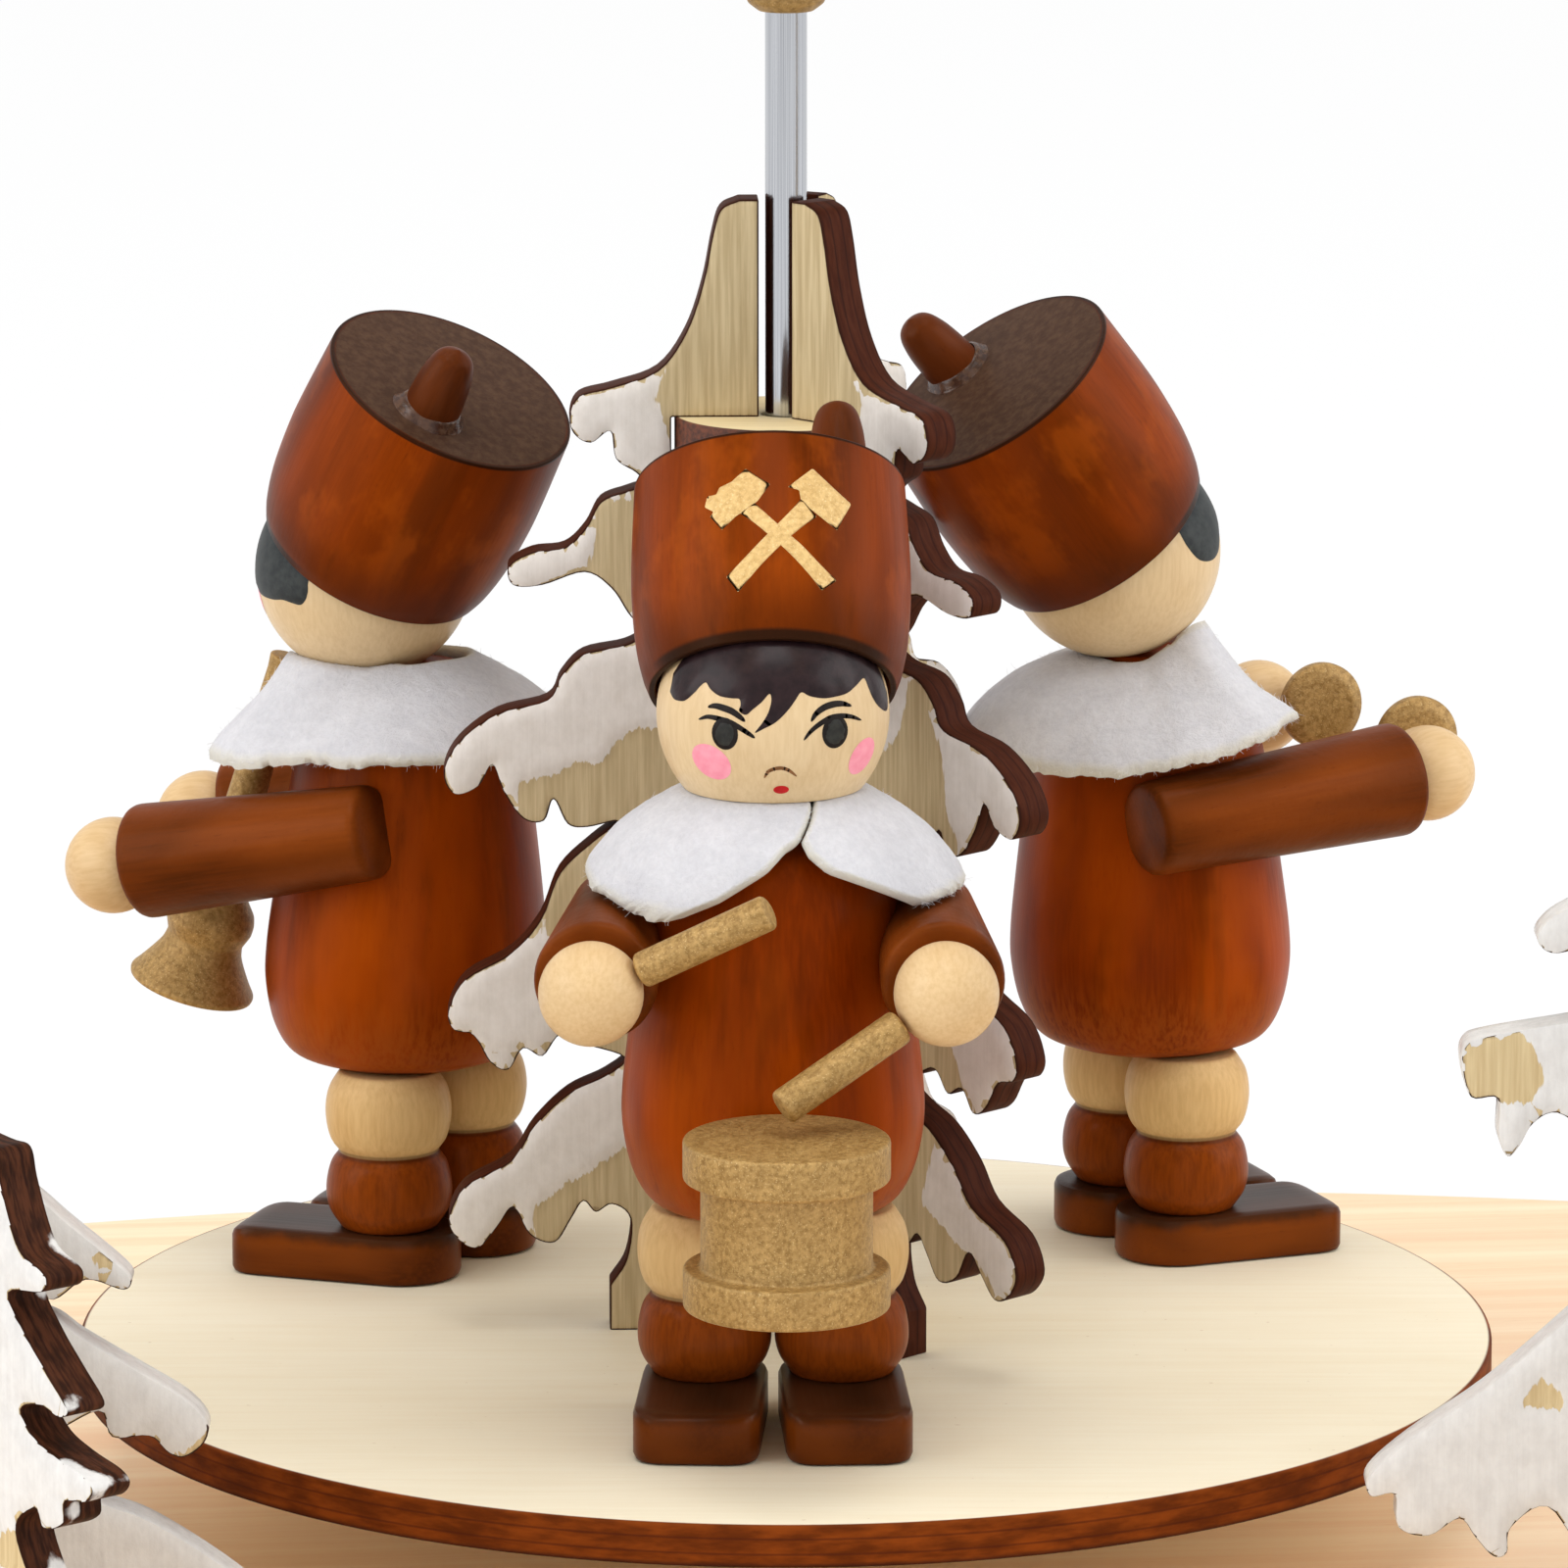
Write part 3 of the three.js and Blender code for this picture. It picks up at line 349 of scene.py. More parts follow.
class Value:
    """A node's output inside a finish. Sums written on it add Math nodes."""

    def __init__(self, finish, socket):
        self.finish, self.socket = finish, socket

    def sum(self, operation, *values):
        return self.finish.node("ShaderNodeMath", {"operation": operation}, dict(enumerate(values)))

    def __add__(self, other):
        return self.sum("ADD", self, other)

    def __radd__(self, other):
        return self.sum("ADD", other, self)

    def __sub__(self, other):
        return self.sum("SUBTRACT", self, other)

    def __rsub__(self, other):
        return self.sum("SUBTRACT", other, self)

    def __mul__(self, other):
        return self.sum("MULTIPLY", self, other)

    def __rmul__(self, other):
        return self.sum("MULTIPLY", other, self)

    def __pow__(self, other):
        return self.sum("POWER", self, other)

    def step(self, low, high):
        """0 at low and 1 at high, smooth between."""
        return self.finish.node("ShaderNodeMapRange", {"interpolation_type": "SMOOTHSTEP"},
                                {"Value": self, "From Min": low, "From Max": high})

    def size(self):
        """The value without its sign."""
        return self.sum("ABSOLUTE", self)

    def either(self, other):
        """The larger of two values."""
        return self.sum("MAXIMUM", self, other)


def colour(red, green, blue):
    """A colour as the screen shows it, 0 to 255, made linear."""
    c = np.array([red, green, blue]) / 255
    return (*np.where(c <= 0.04045, c / 12.92, ((c + 0.055) / 1.055)**2.4).tolist(), 1.0)


class Nodes:
    """A tree of nodes, built from nothing."""

    def __init__(self, tree):
        self.tree = tree
        tree.nodes.clear()

    def node(self, kind, settings, inputs, output=0):
        """A node of a kind: its settings first, then the values or links of its sockets."""
        node = self.tree.nodes.new(kind)
        for key, value in settings.items():
            setattr(node, key, value)
        for key, value in inputs.items():
            if isinstance(value, Value):
                self.tree.links.new(value.socket, node.inputs[key])
            else:
                node.inputs[key].default_value = value
        return Value(self, node.outputs[output])

    def close(self, kind, shade):
        """Carries a shader to the tree's output, a node of a kind."""
        self.tree.links.new(shade.socket, self.tree.nodes.new(kind).inputs["Surface"])

    def shown(self, kind, lit, seen, share):
        """Carries two shaders to the output, mixed by share times the largest of the three flags:
        the camera, metal and glass see the second one, and every other ray meets the first."""
        flags = self.node("ShaderNodeLightPath", {}, {}).socket.node.outputs
        camera, shine, glass = (
            Value(self, flags["Is " + ray + " Ray"]) for ray in ("Camera", "Glossy", "Transmission"))
        factor = camera.either(shine).either(glass) * share
        self.close(kind, self.node("ShaderNodeMixShader", {}, {0: factor, 1: lit, 2: seen}))


class Finish(Nodes):
    """A surface finish built from nodes."""

    def __init__(self, name):
        self.material = bpy.data.materials.new(name)
        self.material.use_nodes = True
        super().__init__(self.material.node_tree)
        self.own = self.node("ShaderNodeAttribute", {"attribute_name": "own"}, {}, "Vector")
        parts = self.node("ShaderNodeSeparateXYZ", {}, {0: self.own})
        outputs = parts.socket.node.outputs
        self.x, self.y, self.z = (Value(self, outputs[i]) for i in range(3))
        self.edge = self.node("ShaderNodeAttribute", {"attribute_name": "edge"}, {}, "Fac")
        self.snow = self.node("ShaderNodeAttribute", {"attribute_name": "snow"}, {}, "Fac")
        self.reach = (self.x * self.x + self.y * self.y) ** 0.5

    def stretched(self, x, y, z):
        """The piece's own place with each axis scaled."""
        return self.node("ShaderNodeVectorMath", {"operation": "MULTIPLY"}, {0: self.own, 1: (x, y, z)})

    def noise(self, vector, scale=1.0, detail=3.0, rough=0.55):
        """Cloudy noise, 0 to 1, with about scale clouds to each unit of the vector."""
        return self.node("ShaderNodeTexNoise", {}, {
            "Vector": vector, "Scale": scale, "Detail": detail, "Roughness": rough})

    def mix(self, factor, one, other):
        """One colour at factor 0 and the other at 1."""
        return self.node("ShaderNodeMix", {"data_type": "RGBA"}, {0: factor, 6: one, 7: other}, 2)

    def shader(self, height=None, depth=0.05, **sockets):
        """The shader, with a bump of depth millimetres from a height where there is one."""
        inputs = {key.replace("_", " "): value for key, value in sockets.items()}
        if height is not None:
            inputs["Normal"] = self.node("ShaderNodeBump", {}, {
                "Strength": 1.0, "Distance": depth * 0.001, "Height": height})
        self.close("ShaderNodeOutputMaterial", self.node("ShaderNodeBsdfPrincipled", {}, inputs))
        return self.material


def stained(name, dark, middle, light, along="z", streaks=0.5):
    """Stained wood: fine fibres along the turning, a broad uneven stain, and small darker pores."""
    f = Finish(name)
    fine = {"z": (3.4, 3.4, 0.14), "x": (0.14, 3.4, 3.4)}[along]
    broad = {"z": (0.16, 0.16, 0.05), "x": (0.05, 0.16, 0.16)}[along]
    short = {"z": (5.0, 5.0, 0.9), "x": (0.9, 5.0, 5.0)}[along]
    fibres = f.noise(f.stretched(*fine), 1.0, 4.0, 0.55)
    patches = f.noise(f.stretched(*broad), 1.0, 2.0, 0.5)
    pores = f.noise(f.stretched(*short), 1.0, 2.0, 0.5).step(0.62, 0.78)
    tone = f.mix(patches.step(0.32, 0.68), dark, light)
    tone = f.mix(fibres.step(0.3, 0.75) * streaks, tone, middle)
    tone = f.mix(pores * 0.35, tone, dark)
    return f, tone, fibres, patches


WHITE = (1.0, 1.0, 1.0, 1.0)


def lacquered(f, tone, height, rough, coat=0.05, depth=0.012, tint=(1.0, 0.42, 0.1, 1.0)):
    """A thin lacquer over a stained or bare wood, whose shine takes the colour of the stain."""
    return f.shader(height=height, depth=depth, Base_Color=tone, Roughness=rough, Coat_Weight=coat,
                    Coat_Roughness=0.2, Specular_IOR_Level=0.1, Specular_Tint=tint)


def make_finishes():
    """Every finish of the object, by its maker's name."""
    finish = {}

    # Brown stain of the coats: dark upright bands, orange patches, and lighter towards the hem.
    f, tone, fibres, _ = stained(
        "brown_stain", colour(112, 38, 0), colour(142, 52, 1), colour(158, 64, 3))
    bands = f.noise(f.stretched(0.34, 0.34, 0.035), 1.0, 4.0, 0.6)
    blush = f.noise(f.stretched(0.11, 0.11, 0.07), 1.0, 3.0, 0.6)
    tone = f.mix(bands.step(0.52, 0.7) * 0.4, tone, colour(78, 28, 0))
    tone = f.mix(blush.step(0.5, 0.7) * 0.45, tone, colour(176, 76, 6))
    hem = (1 - f.z.step(2.0, 8.0)) * 0.4
    tone = f.mix(hem * fibres.step(0.3, 0.6), tone, colour(160, 82, 24))
    finish["brown_stain"] = lacquered(f, tone, fibres, 0.34 + 0.16 * fibres, 0.04)

    # Sleeves: a darker stain whose lacquer stands in small drops.
    f, tone, fibres, _ = stained(
        "sleeve_stain", colour(74, 32, 6), colour(112, 50, 12), colour(130, 62, 18))
    drops = f.noise(f.stretched(0.7, 0.7, 0.7), 1.0, 3.0)
    finish["sleeve_stain"] = lacquered(f, tone, drops, 0.34 + 0.16 * fibres, 0.05, 0.08)

    # Hats: uneven stain, darker towards the lower rim. The flat top is dull and grey-brown, partly painted
    # reflection; a thin dark line runs round the top rim, and the underside and the front's lower edge
    # above the hair are near-black, painted shade under the hat's rim.
    f, tone, fibres, _ = stained(
        "hat_stain", colour(88, 32, 1), colour(116, 44, 3), colour(134, 54, 5))
    bands = f.noise(f.stretched(0.3, 0.3, 0.04), 1.0, 4.0, 0.6)
    tone = f.mix(bands.step(0.5, 0.7) * 0.4, tone, colour(66, 26, 2))
    tone = f.mix((1 - f.z.step(2.0, 7.5)) * 0.55, tone, colour(62, 24, 3))
    blush = f.noise(f.stretched(0.2, 0.2, 0.12), 1.0, 4.0, 0.65)
    tone = f.mix(blush.step(0.48, 0.66) * 0.4 * f.z.step(3.0, 9.0), tone, colour(166, 76, 12))
    # The flat top: a dull grey-brown that is partly its stain and partly painted reflection of grey light.
    top = f.z.step(16.93, 17.0) * (1 - f.reach.step(9.05, 9.2))
    mottle = f.noise(f.stretched(1.3, 1.3, 1.3), 1.0, 5.0, 0.7)
    dull = f.mix(mottle.step(0.35, 0.7), colour(68, 48, 38), colour(86, 64, 50))
    tone = f.mix(top, tone, dull)
    # Painted shade: the underside and the front's lower edge above the hair go near-black for the shadow
    # under the hat's rim, joined to the thin dark line round the top rim.
    top_rim_line_and_painted_underside_shade = (f.z.step(16.76, 16.88) * f.reach.step(9.0, 9.25)).either(1 - f.z.step(1.66, 1.8))
    front = (1 - f.z.step(2.15, 2.5)) * f.x.step(2.0, 5.0)
    tone = f.mix(top_rim_line_and_painted_underside_shade.either(front) * 0.92, tone, colour(30, 17, 10))
    finish["hat_stain"] = lacquered(f, tone, fibres, 0.34 + 0.14 * fibres + 0.2 * top, 0.04)

    f, tone, fibres, _ = stained(
        "peg_stain", colour(72, 32, 12), colour(98, 46, 18), colour(110, 52, 22))
    finish["peg_stain"] = lacquered(f, tone, fibres, 0.36 + 0.14 * fibres, 0.05)

    # Glue that stands round the pegs' feet.
    f = Finish("clear_glue")
    blobs = f.noise(f.stretched(1, 1, 1), 1.6, 3.0)
    tone = f.mix(blobs.step(0.4, 0.6), colour(62, 36, 24), colour(88, 60, 44))
    finish["clear_glue"] = f.shader(
        height=blobs, depth=0.06, Base_Color=tone, Roughness=0.14 + 0.2 * blobs, Specular_IOR_Level=0.4)

    # Bare turned wood, lacquered: pale, with faint fibres and a warm cloud.
    def bare(name, dark, light):
        f = Finish(name)
        fibres = f.noise(f.stretched(3.2, 3.2, 0.3), 1.0, 4.0, 0.6)
        cloud = f.noise(f.stretched(0.14, 0.14, 0.1), 1.0, 2.0)
        tone = f.mix(fibres.step(0.3, 0.75) * 0.45 + cloud.step(0.3, 0.7) * 0.5, light, dark)
        return f, tone, fibres

    for name, dark, light in (
            ("head_wood", colour(208, 178, 134), colour(228, 202, 160)),
            ("hand_wood", colour(208, 172, 122), colour(230, 200, 154))):
        f, tone, fibres = bare(name, dark, light)
        finish[name] = lacquered(f, tone, fibres, 0.34 + 0.16 * fibres, 0.2, tint=WHITE)

    # Legs: the lower barrel is stained and the upper one is bare.
    f, tone, fibres = bare("leg_wood", colour(198, 158, 102), colour(226, 192, 138))
    brown = f.mix(fibres.step(0.3, 0.8) * 0.6, colour(136, 62, 12), colour(88, 36, 6))
    tone = f.mix(f.z.step(5.75, 5.9), brown, tone)
    tone = f.mix((f.z.step(5.45, 5.7) * (1 - f.z.step(5.95, 6.2))) * 0.6, tone, colour(60, 28, 10))
    finish["leg_wood"] = lacquered(f, tone, fibres, 0.32 + 0.16 * fibres, 0.07)

    # Shoes: dark tops whose stain runs softly over the edge, and orange-brown sides.
    f, tone, fibres, patches = stained(
        "shoe_stain", colour(78, 32, 4), colour(112, 52, 10), colour(126, 60, 12), along="x")
    drip = f.noise(f.stretched(0.4, 0.4, 0.4), 1.0, 3.0)
    dark = f.mix(patches.step(0.3, 0.7), colour(44, 24, 12), colour(70, 38, 20))
    tone = f.mix((f.z + 1.4 * (drip - 0.5)).step(0.7, 1.7), tone, dark)
    tone = f.mix(f.x.step(8.5, 11.4) * 0.45, tone, colour(74, 32, 8))
    tone = f.mix((1 - f.z.step(-1.78, -1.5)) * 0.6, tone, colour(52, 24, 8))
    finish["shoe_stain"] = lacquered(f, tone, fibres, 0.28 + 0.14 * fibres, 0.12)

    # Gilt: grains of bronze powder in varnish.
    def gilt(name, dark, middle, light, metal):
        f = Finish(name)
        grain = f.noise(f.stretched(1, 1, 1), 2.6, 4.0, 0.65)
        sparks = f.noise(f.stretched(1, 1, 1), 8.0, 2.0, 0.6)
        cloud = f.noise(f.stretched(1, 1, 1), 0.5, 3.0)
        tone = f.mix(grain.step(0.3, 0.66), dark, middle)
        tone = f.mix(sparks.step(0.58, 0.72) * 0.6, tone, light)
        tone = f.mix(cloud.step(0.35, 0.7) * 0.3, tone, dark)
        return f.shader(height=grain + 0.4 * sparks, depth=0.045, Base_Color=tone,
                        Roughness=0.38 + 0.22 * grain, Metallic=metal, Specular_IOR_Level=0.4)

    finish["gold_paint"] = gilt(
        "gold_paint", colour(142, 108, 54), colour(188, 152, 92), colour(236, 208, 150), 0.25)
    finish["hammer_gilt"] = gilt(
        "hammer_gilt", colour(200, 160, 96), colour(230, 196, 132), colour(252, 236, 190), 0.1)

    # Felt: matted white wool, a little yellowed along the cut edge.
    f = Finish("white_felt")
    matted = f.noise(f.stretched(1, 1, 1), 1.8, 6.0, 0.75)
    cloud = f.noise(f.stretched(1, 1, 1), 0.3, 3.0)
    tone = f.mix(matted.step(0.3, 0.7) * 0.5 + cloud.step(0.3, 0.7) * 0.4,
                 colour(208, 208, 214), colour(230, 230, 235))
    tone = f.mix(f.edge.step(0.25, 0.9) * (0.35 + matted * 0.5), tone, colour(226, 221, 200))
    finish["white_felt"] = f.shader(
        height=matted, depth=0.2, Base_Color=tone, Roughness=0.92, Specular_IOR_Level=0.1)
    f = Finish("felt_fibre")
    finish["felt_fibre"] = f.shader(
        Base_Color=colour(232, 232, 236), Roughness=0.9, Specular_IOR_Level=0.2)

    # Laser-cut ply: grain up the face, three plies at the cut, scorched edges and brushed snow.
    # Each pair of colours is a dark and a light one.
    def ply(name, bare, burnt, snow, snow_rough, lumpy=0.03):
        f = Finish(name)
        grain = f.noise(f.stretched(3.2, 0.12, 3.2), 1.0, 4.0, 0.6)
        rays = f.noise(f.stretched(0.8, 0.04, 0.8), 1.0, 3.0)
        tone = f.mix(grain.step(0.3, 0.68) * 0.75 + rays.step(0.3, 0.7) * 0.25, bare[1], bare[0])
        across = f.z.size()
        cut = f.mix(f.noise(f.stretched(0.5, 0.5, 2.6), 1.0, 3.0).step(0.35, 0.65), *burnt)
        plies = across.step(0.4, 0.48) * (1 - across.step(0.54, 0.64))
        cut = f.mix(plies.either(across.step(1.2, 1.42)) * 0.6, cut, colour(36, 17, 10))
        scorch = (f.edge + (grain - 0.5) * 0.2).step(0.36, 0.6)
        tone = f.mix(scorch, tone, cut)
        rough = 0.6 + 0.15 * grain - 0.1 * scorch
        lumps = f.noise(f.stretched(0.9, 0.6, 0.9), 1.0, 4.0, 0.6)
        drift = f.noise(f.stretched(0.17, 0.12, 0.22), 1.0, 1.0)
        bristles = f.noise(f.stretched(2.2, 0.22, 2.2), 1.0, 3.0, 0.6)
        border = f.snow + (bristles - 0.5) * (1.5 - 1.3 * f.edge) + f.edge * (drift - 0.5) * 3.0
        border = border.step(-0.05, 0.08)
        white = f.mix(lumps.step(0.3, 0.75) * 0.6 + grain.step(0.3, 0.7) * 0.3, snow[1], snow[0])
        tone = f.mix(border, tone, white)
        rough = rough + border * (snow_rough - rough)
        height = grain * 0.4 + (lumps - grain * 0.4) * border
        return f.shader(height=height, depth=lumpy, Base_Color=tone, Roughness=rough, Specular_IOR_Level=0.06)

    finish["snowy_ply"] = ply(
        "snowy_ply", (colour(182, 162, 124), colour(212, 194, 156)), (colour(64, 28, 14), colour(76, 36, 20)),
        (colour(218, 212, 205), colour(236, 231, 226)), 0.55)
    finish["glossy_snow_ply"] = ply(
        "glossy_snow_ply", (colour(192, 168, 126), colour(214, 194, 152)),
        (colour(44, 23, 13), colour(78, 43, 26)),
        (colour(206, 203, 200), colour(224, 222, 219)), 0.2, 0.07)

    # Small plate of the tree: cream face and burnt rim.
    f = Finish("plate_ply")
    grain = f.noise(f.stretched(0.1, 2.4, 2.4), 1.0, 4.0, 0.6)
    tone = f.mix(grain.step(0.3, 0.75) * 0.6, colour(244, 228, 184), colour(228, 206, 158))
    burnt = f.mix(grain.step(0.3, 0.7), colour(62, 28, 16), colour(112, 58, 34))
    tone = f.mix(f.reach.step(7.75, 7.95), tone, burnt)
    finish["plate_ply"] = f.shader(height=grain, depth=0.02, Base_Color=tone, Roughness=0.55 + 0.15 * grain)

    # Turning disc: bleached face with small specks, scorched rim with its plies.
    f = Finish("cream_ply")
    grain = f.noise(f.stretched(0.06, 1.6, 1.6), 1.0, 4.0, 0.6)
    cloud = f.noise(f.stretched(0.05, 0.08, 0.05), 1.0, 3.0)
    specks = f.noise(f.stretched(1.2, 2.4, 1.0), 1.0, 2.0, 0.5).step(0.74, 0.78)
    tone = f.mix(grain.step(0.3, 0.75) * 0.4 + cloud.step(0.3, 0.7) * 0.3,
                 colour(252, 244, 220), colour(243, 230, 200))
    tone = f.mix(specks * 0.5, tone, colour(186, 154, 112))
    rim = f.reach.step(DISC_RADIUS - 0.35, DISC_RADIUS - 0.15)
    flame = f.noise(f.stretched(0.3, 0.3, 1.2), 1.0, 4.0)
    burnt = f.mix(flame.step(0.3, 0.72), colour(92, 38, 2), colour(134, 62, 10))
    layer = (f.z - (DISC_TOP - PLY / 2)).size()
    burnt = f.mix(layer.step(0.42, 0.5) * (1 - layer.step(0.56, 0.66)) * 0.55, burnt, colour(70, 26, 8))
    low = 1 - f.z.step(DISC_BOTTOM + 0.1, DISC_BOTTOM + 0.45)
    burnt = f.mix(low * 0.8, burnt, colour(48, 20, 10))
    tone = f.mix(rim, tone, burnt)
    finish["cream_ply"] = f.shader(
        height=grain, depth=0.02, Base_Color=tone, Roughness=0.5 + 0.15 * grain, Specular_IOR_Level=0.08)

    # Board: pale beech with long grain, broad rosy bands and short flecks.
    f = Finish("pale_board")
    grain = f.noise(f.stretched(0.012, 0.42, 0.42), 1.0, 5.0, 0.6)
    bands = f.noise(f.stretched(0.004, 0.1, 0.1), 1.0, 2.0)
    flecks = f.noise(f.stretched(0.35, 2.6, 2.6), 1.0, 3.0, 0.6)
    tone = f.mix(grain.step(0.3, 0.7), colour(254, 230, 195), colour(247, 212, 172))
    tone = f.mix(bands.step(0.5, 0.72) * 0.5, tone, colour(243, 196, 156))
    tone = f.mix(flecks.step(0.58, 0.78) * 0.25, tone, colour(220, 176, 128))
    finish["pale_board"] = f.shader(
        height=flecks, depth=0.02, Base_Color=tone, Roughness=0.42 + 0.2 * flecks,
        Coat_Weight=0.12, Coat_Roughness=0.3, Specular_IOR_Level=0.3)

    # Wheel blades: planed spruce, grain along the blade.
    f = Finish("blade_wood")
    grain = f.noise(f.stretched(0.02, 0.9, 0.9), 1.0, 4.0, 0.6)
    lines = f.noise(f.stretched(0.008, 1.6, 1.6), 1.0, 2.0).step(0.5, 0.62)
    tone = f.mix(grain.step(0.3, 0.7) * 0.7, colour(238, 214, 168), colour(222, 190, 138))
    tone = f.mix(lines * 0.35, tone, colour(196, 150, 96))
    finish["blade_wood"] = f.shader(height=grain, depth=0.03, Base_Color=tone, Roughness=0.55 + 0.15 * grain)

    # Metals: drawn steel with fine lines along it, whose light and dark streaks are partly painted
    # reflection, and turned brass.
    f = Finish("bright_steel")
    drawn = f.noise(f.stretched(14.0, 14.0, 0.05), 1.0, 2.0)
    # Light and dark streaks: partly drawn lines, partly painted reflection of the room's dark and bright
    # parts.
    tone = f.mix(drawn, colour(226, 228, 232), colour(138, 140, 146))
    finish["bright_steel"] = f.shader(
        height=drawn, depth=0.003, Base_Color=tone, Roughness=0.1 + 0.1 * drawn, Metallic=1.0)
    f = Finish("brass")
    rings = f.noise(f.node("ShaderNodeCombineXYZ", {}, {0: f.reach * 3.0, 2: f.z * 3.0}), 1.0, 2.0)
    dull = f.noise(f.stretched(0.25, 0.25, 0.25), 1.0, 4.0)
    tone = f.mix(dull.step(0.3, 0.75), colour(224, 190, 112), colour(184, 142, 74))
    finish["brass"] = f.shader(
        height=rings, depth=0.012, Base_Color=tone, Roughness=0.2 + 0.22 * dull, Metallic=1.0)

    # Brushed paints of hair and faces.
    def paint(name, tone, shade, rough, depth=0.02, scale=1.4, coat=0.0):
        """One paint: its tone, and the shade that the brush leaves in it."""
        f = Finish(name)
        brushed = f.noise(f.stretched(1, 1, 1), scale, 3.0, 0.6)
        finish[name] = f.shader(
            height=brushed, depth=depth, Base_Color=f.mix(brushed.step(0.3, 0.7), tone, shade),
            Roughness=rough + 0.12 * brushed, Coat_Weight=coat, Coat_Roughness=0.2, Specular_IOR_Level=0.15)

    paint("hair_brown", colour(28, 15, 18), colour(42, 26, 28), 0.3, 0.05, 0.9, 0.15)
    paint("hair_slate", colour(44, 48, 50), colour(60, 64, 64), 0.42)
    paint("eye_black", colour(40, 40, 38), colour(54, 54, 50), 0.35)
    paint("line_black", colour(22, 17, 16), colour(34, 27, 25), 0.4)
    paint("cheek_pink", colour(244, 148, 166), colour(248, 164, 180), 0.5, 0.01)
    paint("mouth_red", colour(196, 30, 32), colour(172, 22, 26), 0.35)
    paint("nose_brown", colour(120, 80, 48), colour(140, 96, 60), 0.45)
    return finish


FINISH = make_finishes()


# Board, needle, cups

def make_board():
    """The oval board: rings that run from the needle's round hole to an ellipse, then out along
    the ellipse's normal round the eased edge and back underneath to the middle."""
    a = np.linspace(0, 2 * math.pi, 240, endpoint=False)
    edge, depth, bore = BOARD_EASE, 3.0, NEEDLE_RADIUS + 0.25
    long, short = BOARD_LENGTH / 2 - edge, BOARD_WIDTH / 2 - edge
    ellipse = np.stack([long * np.cos(a), short * np.sin(a)], 1)
    normal = np.stack([short * np.cos(a), long * np.sin(a)], 1)
    normal /= np.linalg.norm(normal, axis=1)[:, None]
    hole = np.stack([np.cos(a), np.sin(a)], 1) * bore
    quarter = np.linspace(0, math.pi / 2, 9)
    rows = [(hole * 0, depth), (hole, depth), (hole, BOARD_TOP - 0.2), (hole * 1.2, BOARD_TOP)]
    rows += [(hole * (1 - s) + ellipse * s, BOARD_TOP) for s in np.linspace(0, 1, 12)[1:]]
    rows += [(ellipse + normal * edge * math.sin(t), BOARD_TOP - edge + edge * math.cos(t))
             for t in quarter[1:]]
    rows += [(ellipse + normal * edge * math.cos(t), edge - edge * math.sin(t)) for t in quarter]
    rows += [(ellipse * s, 0.0) for s in (0.6, 0.3, 0.0)]
    own = np.array([np.column_stack([p, np.full(len(a), z)]) for p, z in rows])
    Piece("oval_board").grid(own, wrap=(False, True)).make("stand", "pale_board", "pale_board", "base_board")


def make_cup(side, x):
    """A spun brass cup: its wall, the lip round its top, and its floor."""
    cup = corners(
        (0, 0), (CUP_RADIUS, 0), (CUP_RADIUS, CUP_TALL - 1), (CUP_LIP, CUP_TALL - 1), (CUP_LIP, CUP_TALL),
        (CUP_BORE, CUP_TALL), (CUP_BORE, 1.6), (0, 1.6), ease=0.35)
    Piece("tealight_cup_" + side + "_brass").turned(cup, shift(x, CUP_SPOT[1], BOARD_TOP), 96) \
        .make("stand", "brass", "brass", "tealight_cup_" + side)


make_board()
needle = corners((0, 3), (NEEDLE_RADIUS, 3), (NEEDLE_RADIUS, 174.7), (0, 177.7), ease=0.1)
Piece("needle").turned(needle, around=24).make("stand", "bright_steel", "bright_steel", "pivot_needle")
make_cup("left", -CUP_SPOT[0])
make_cup("right", CUP_SPOT[0])


# Side trees

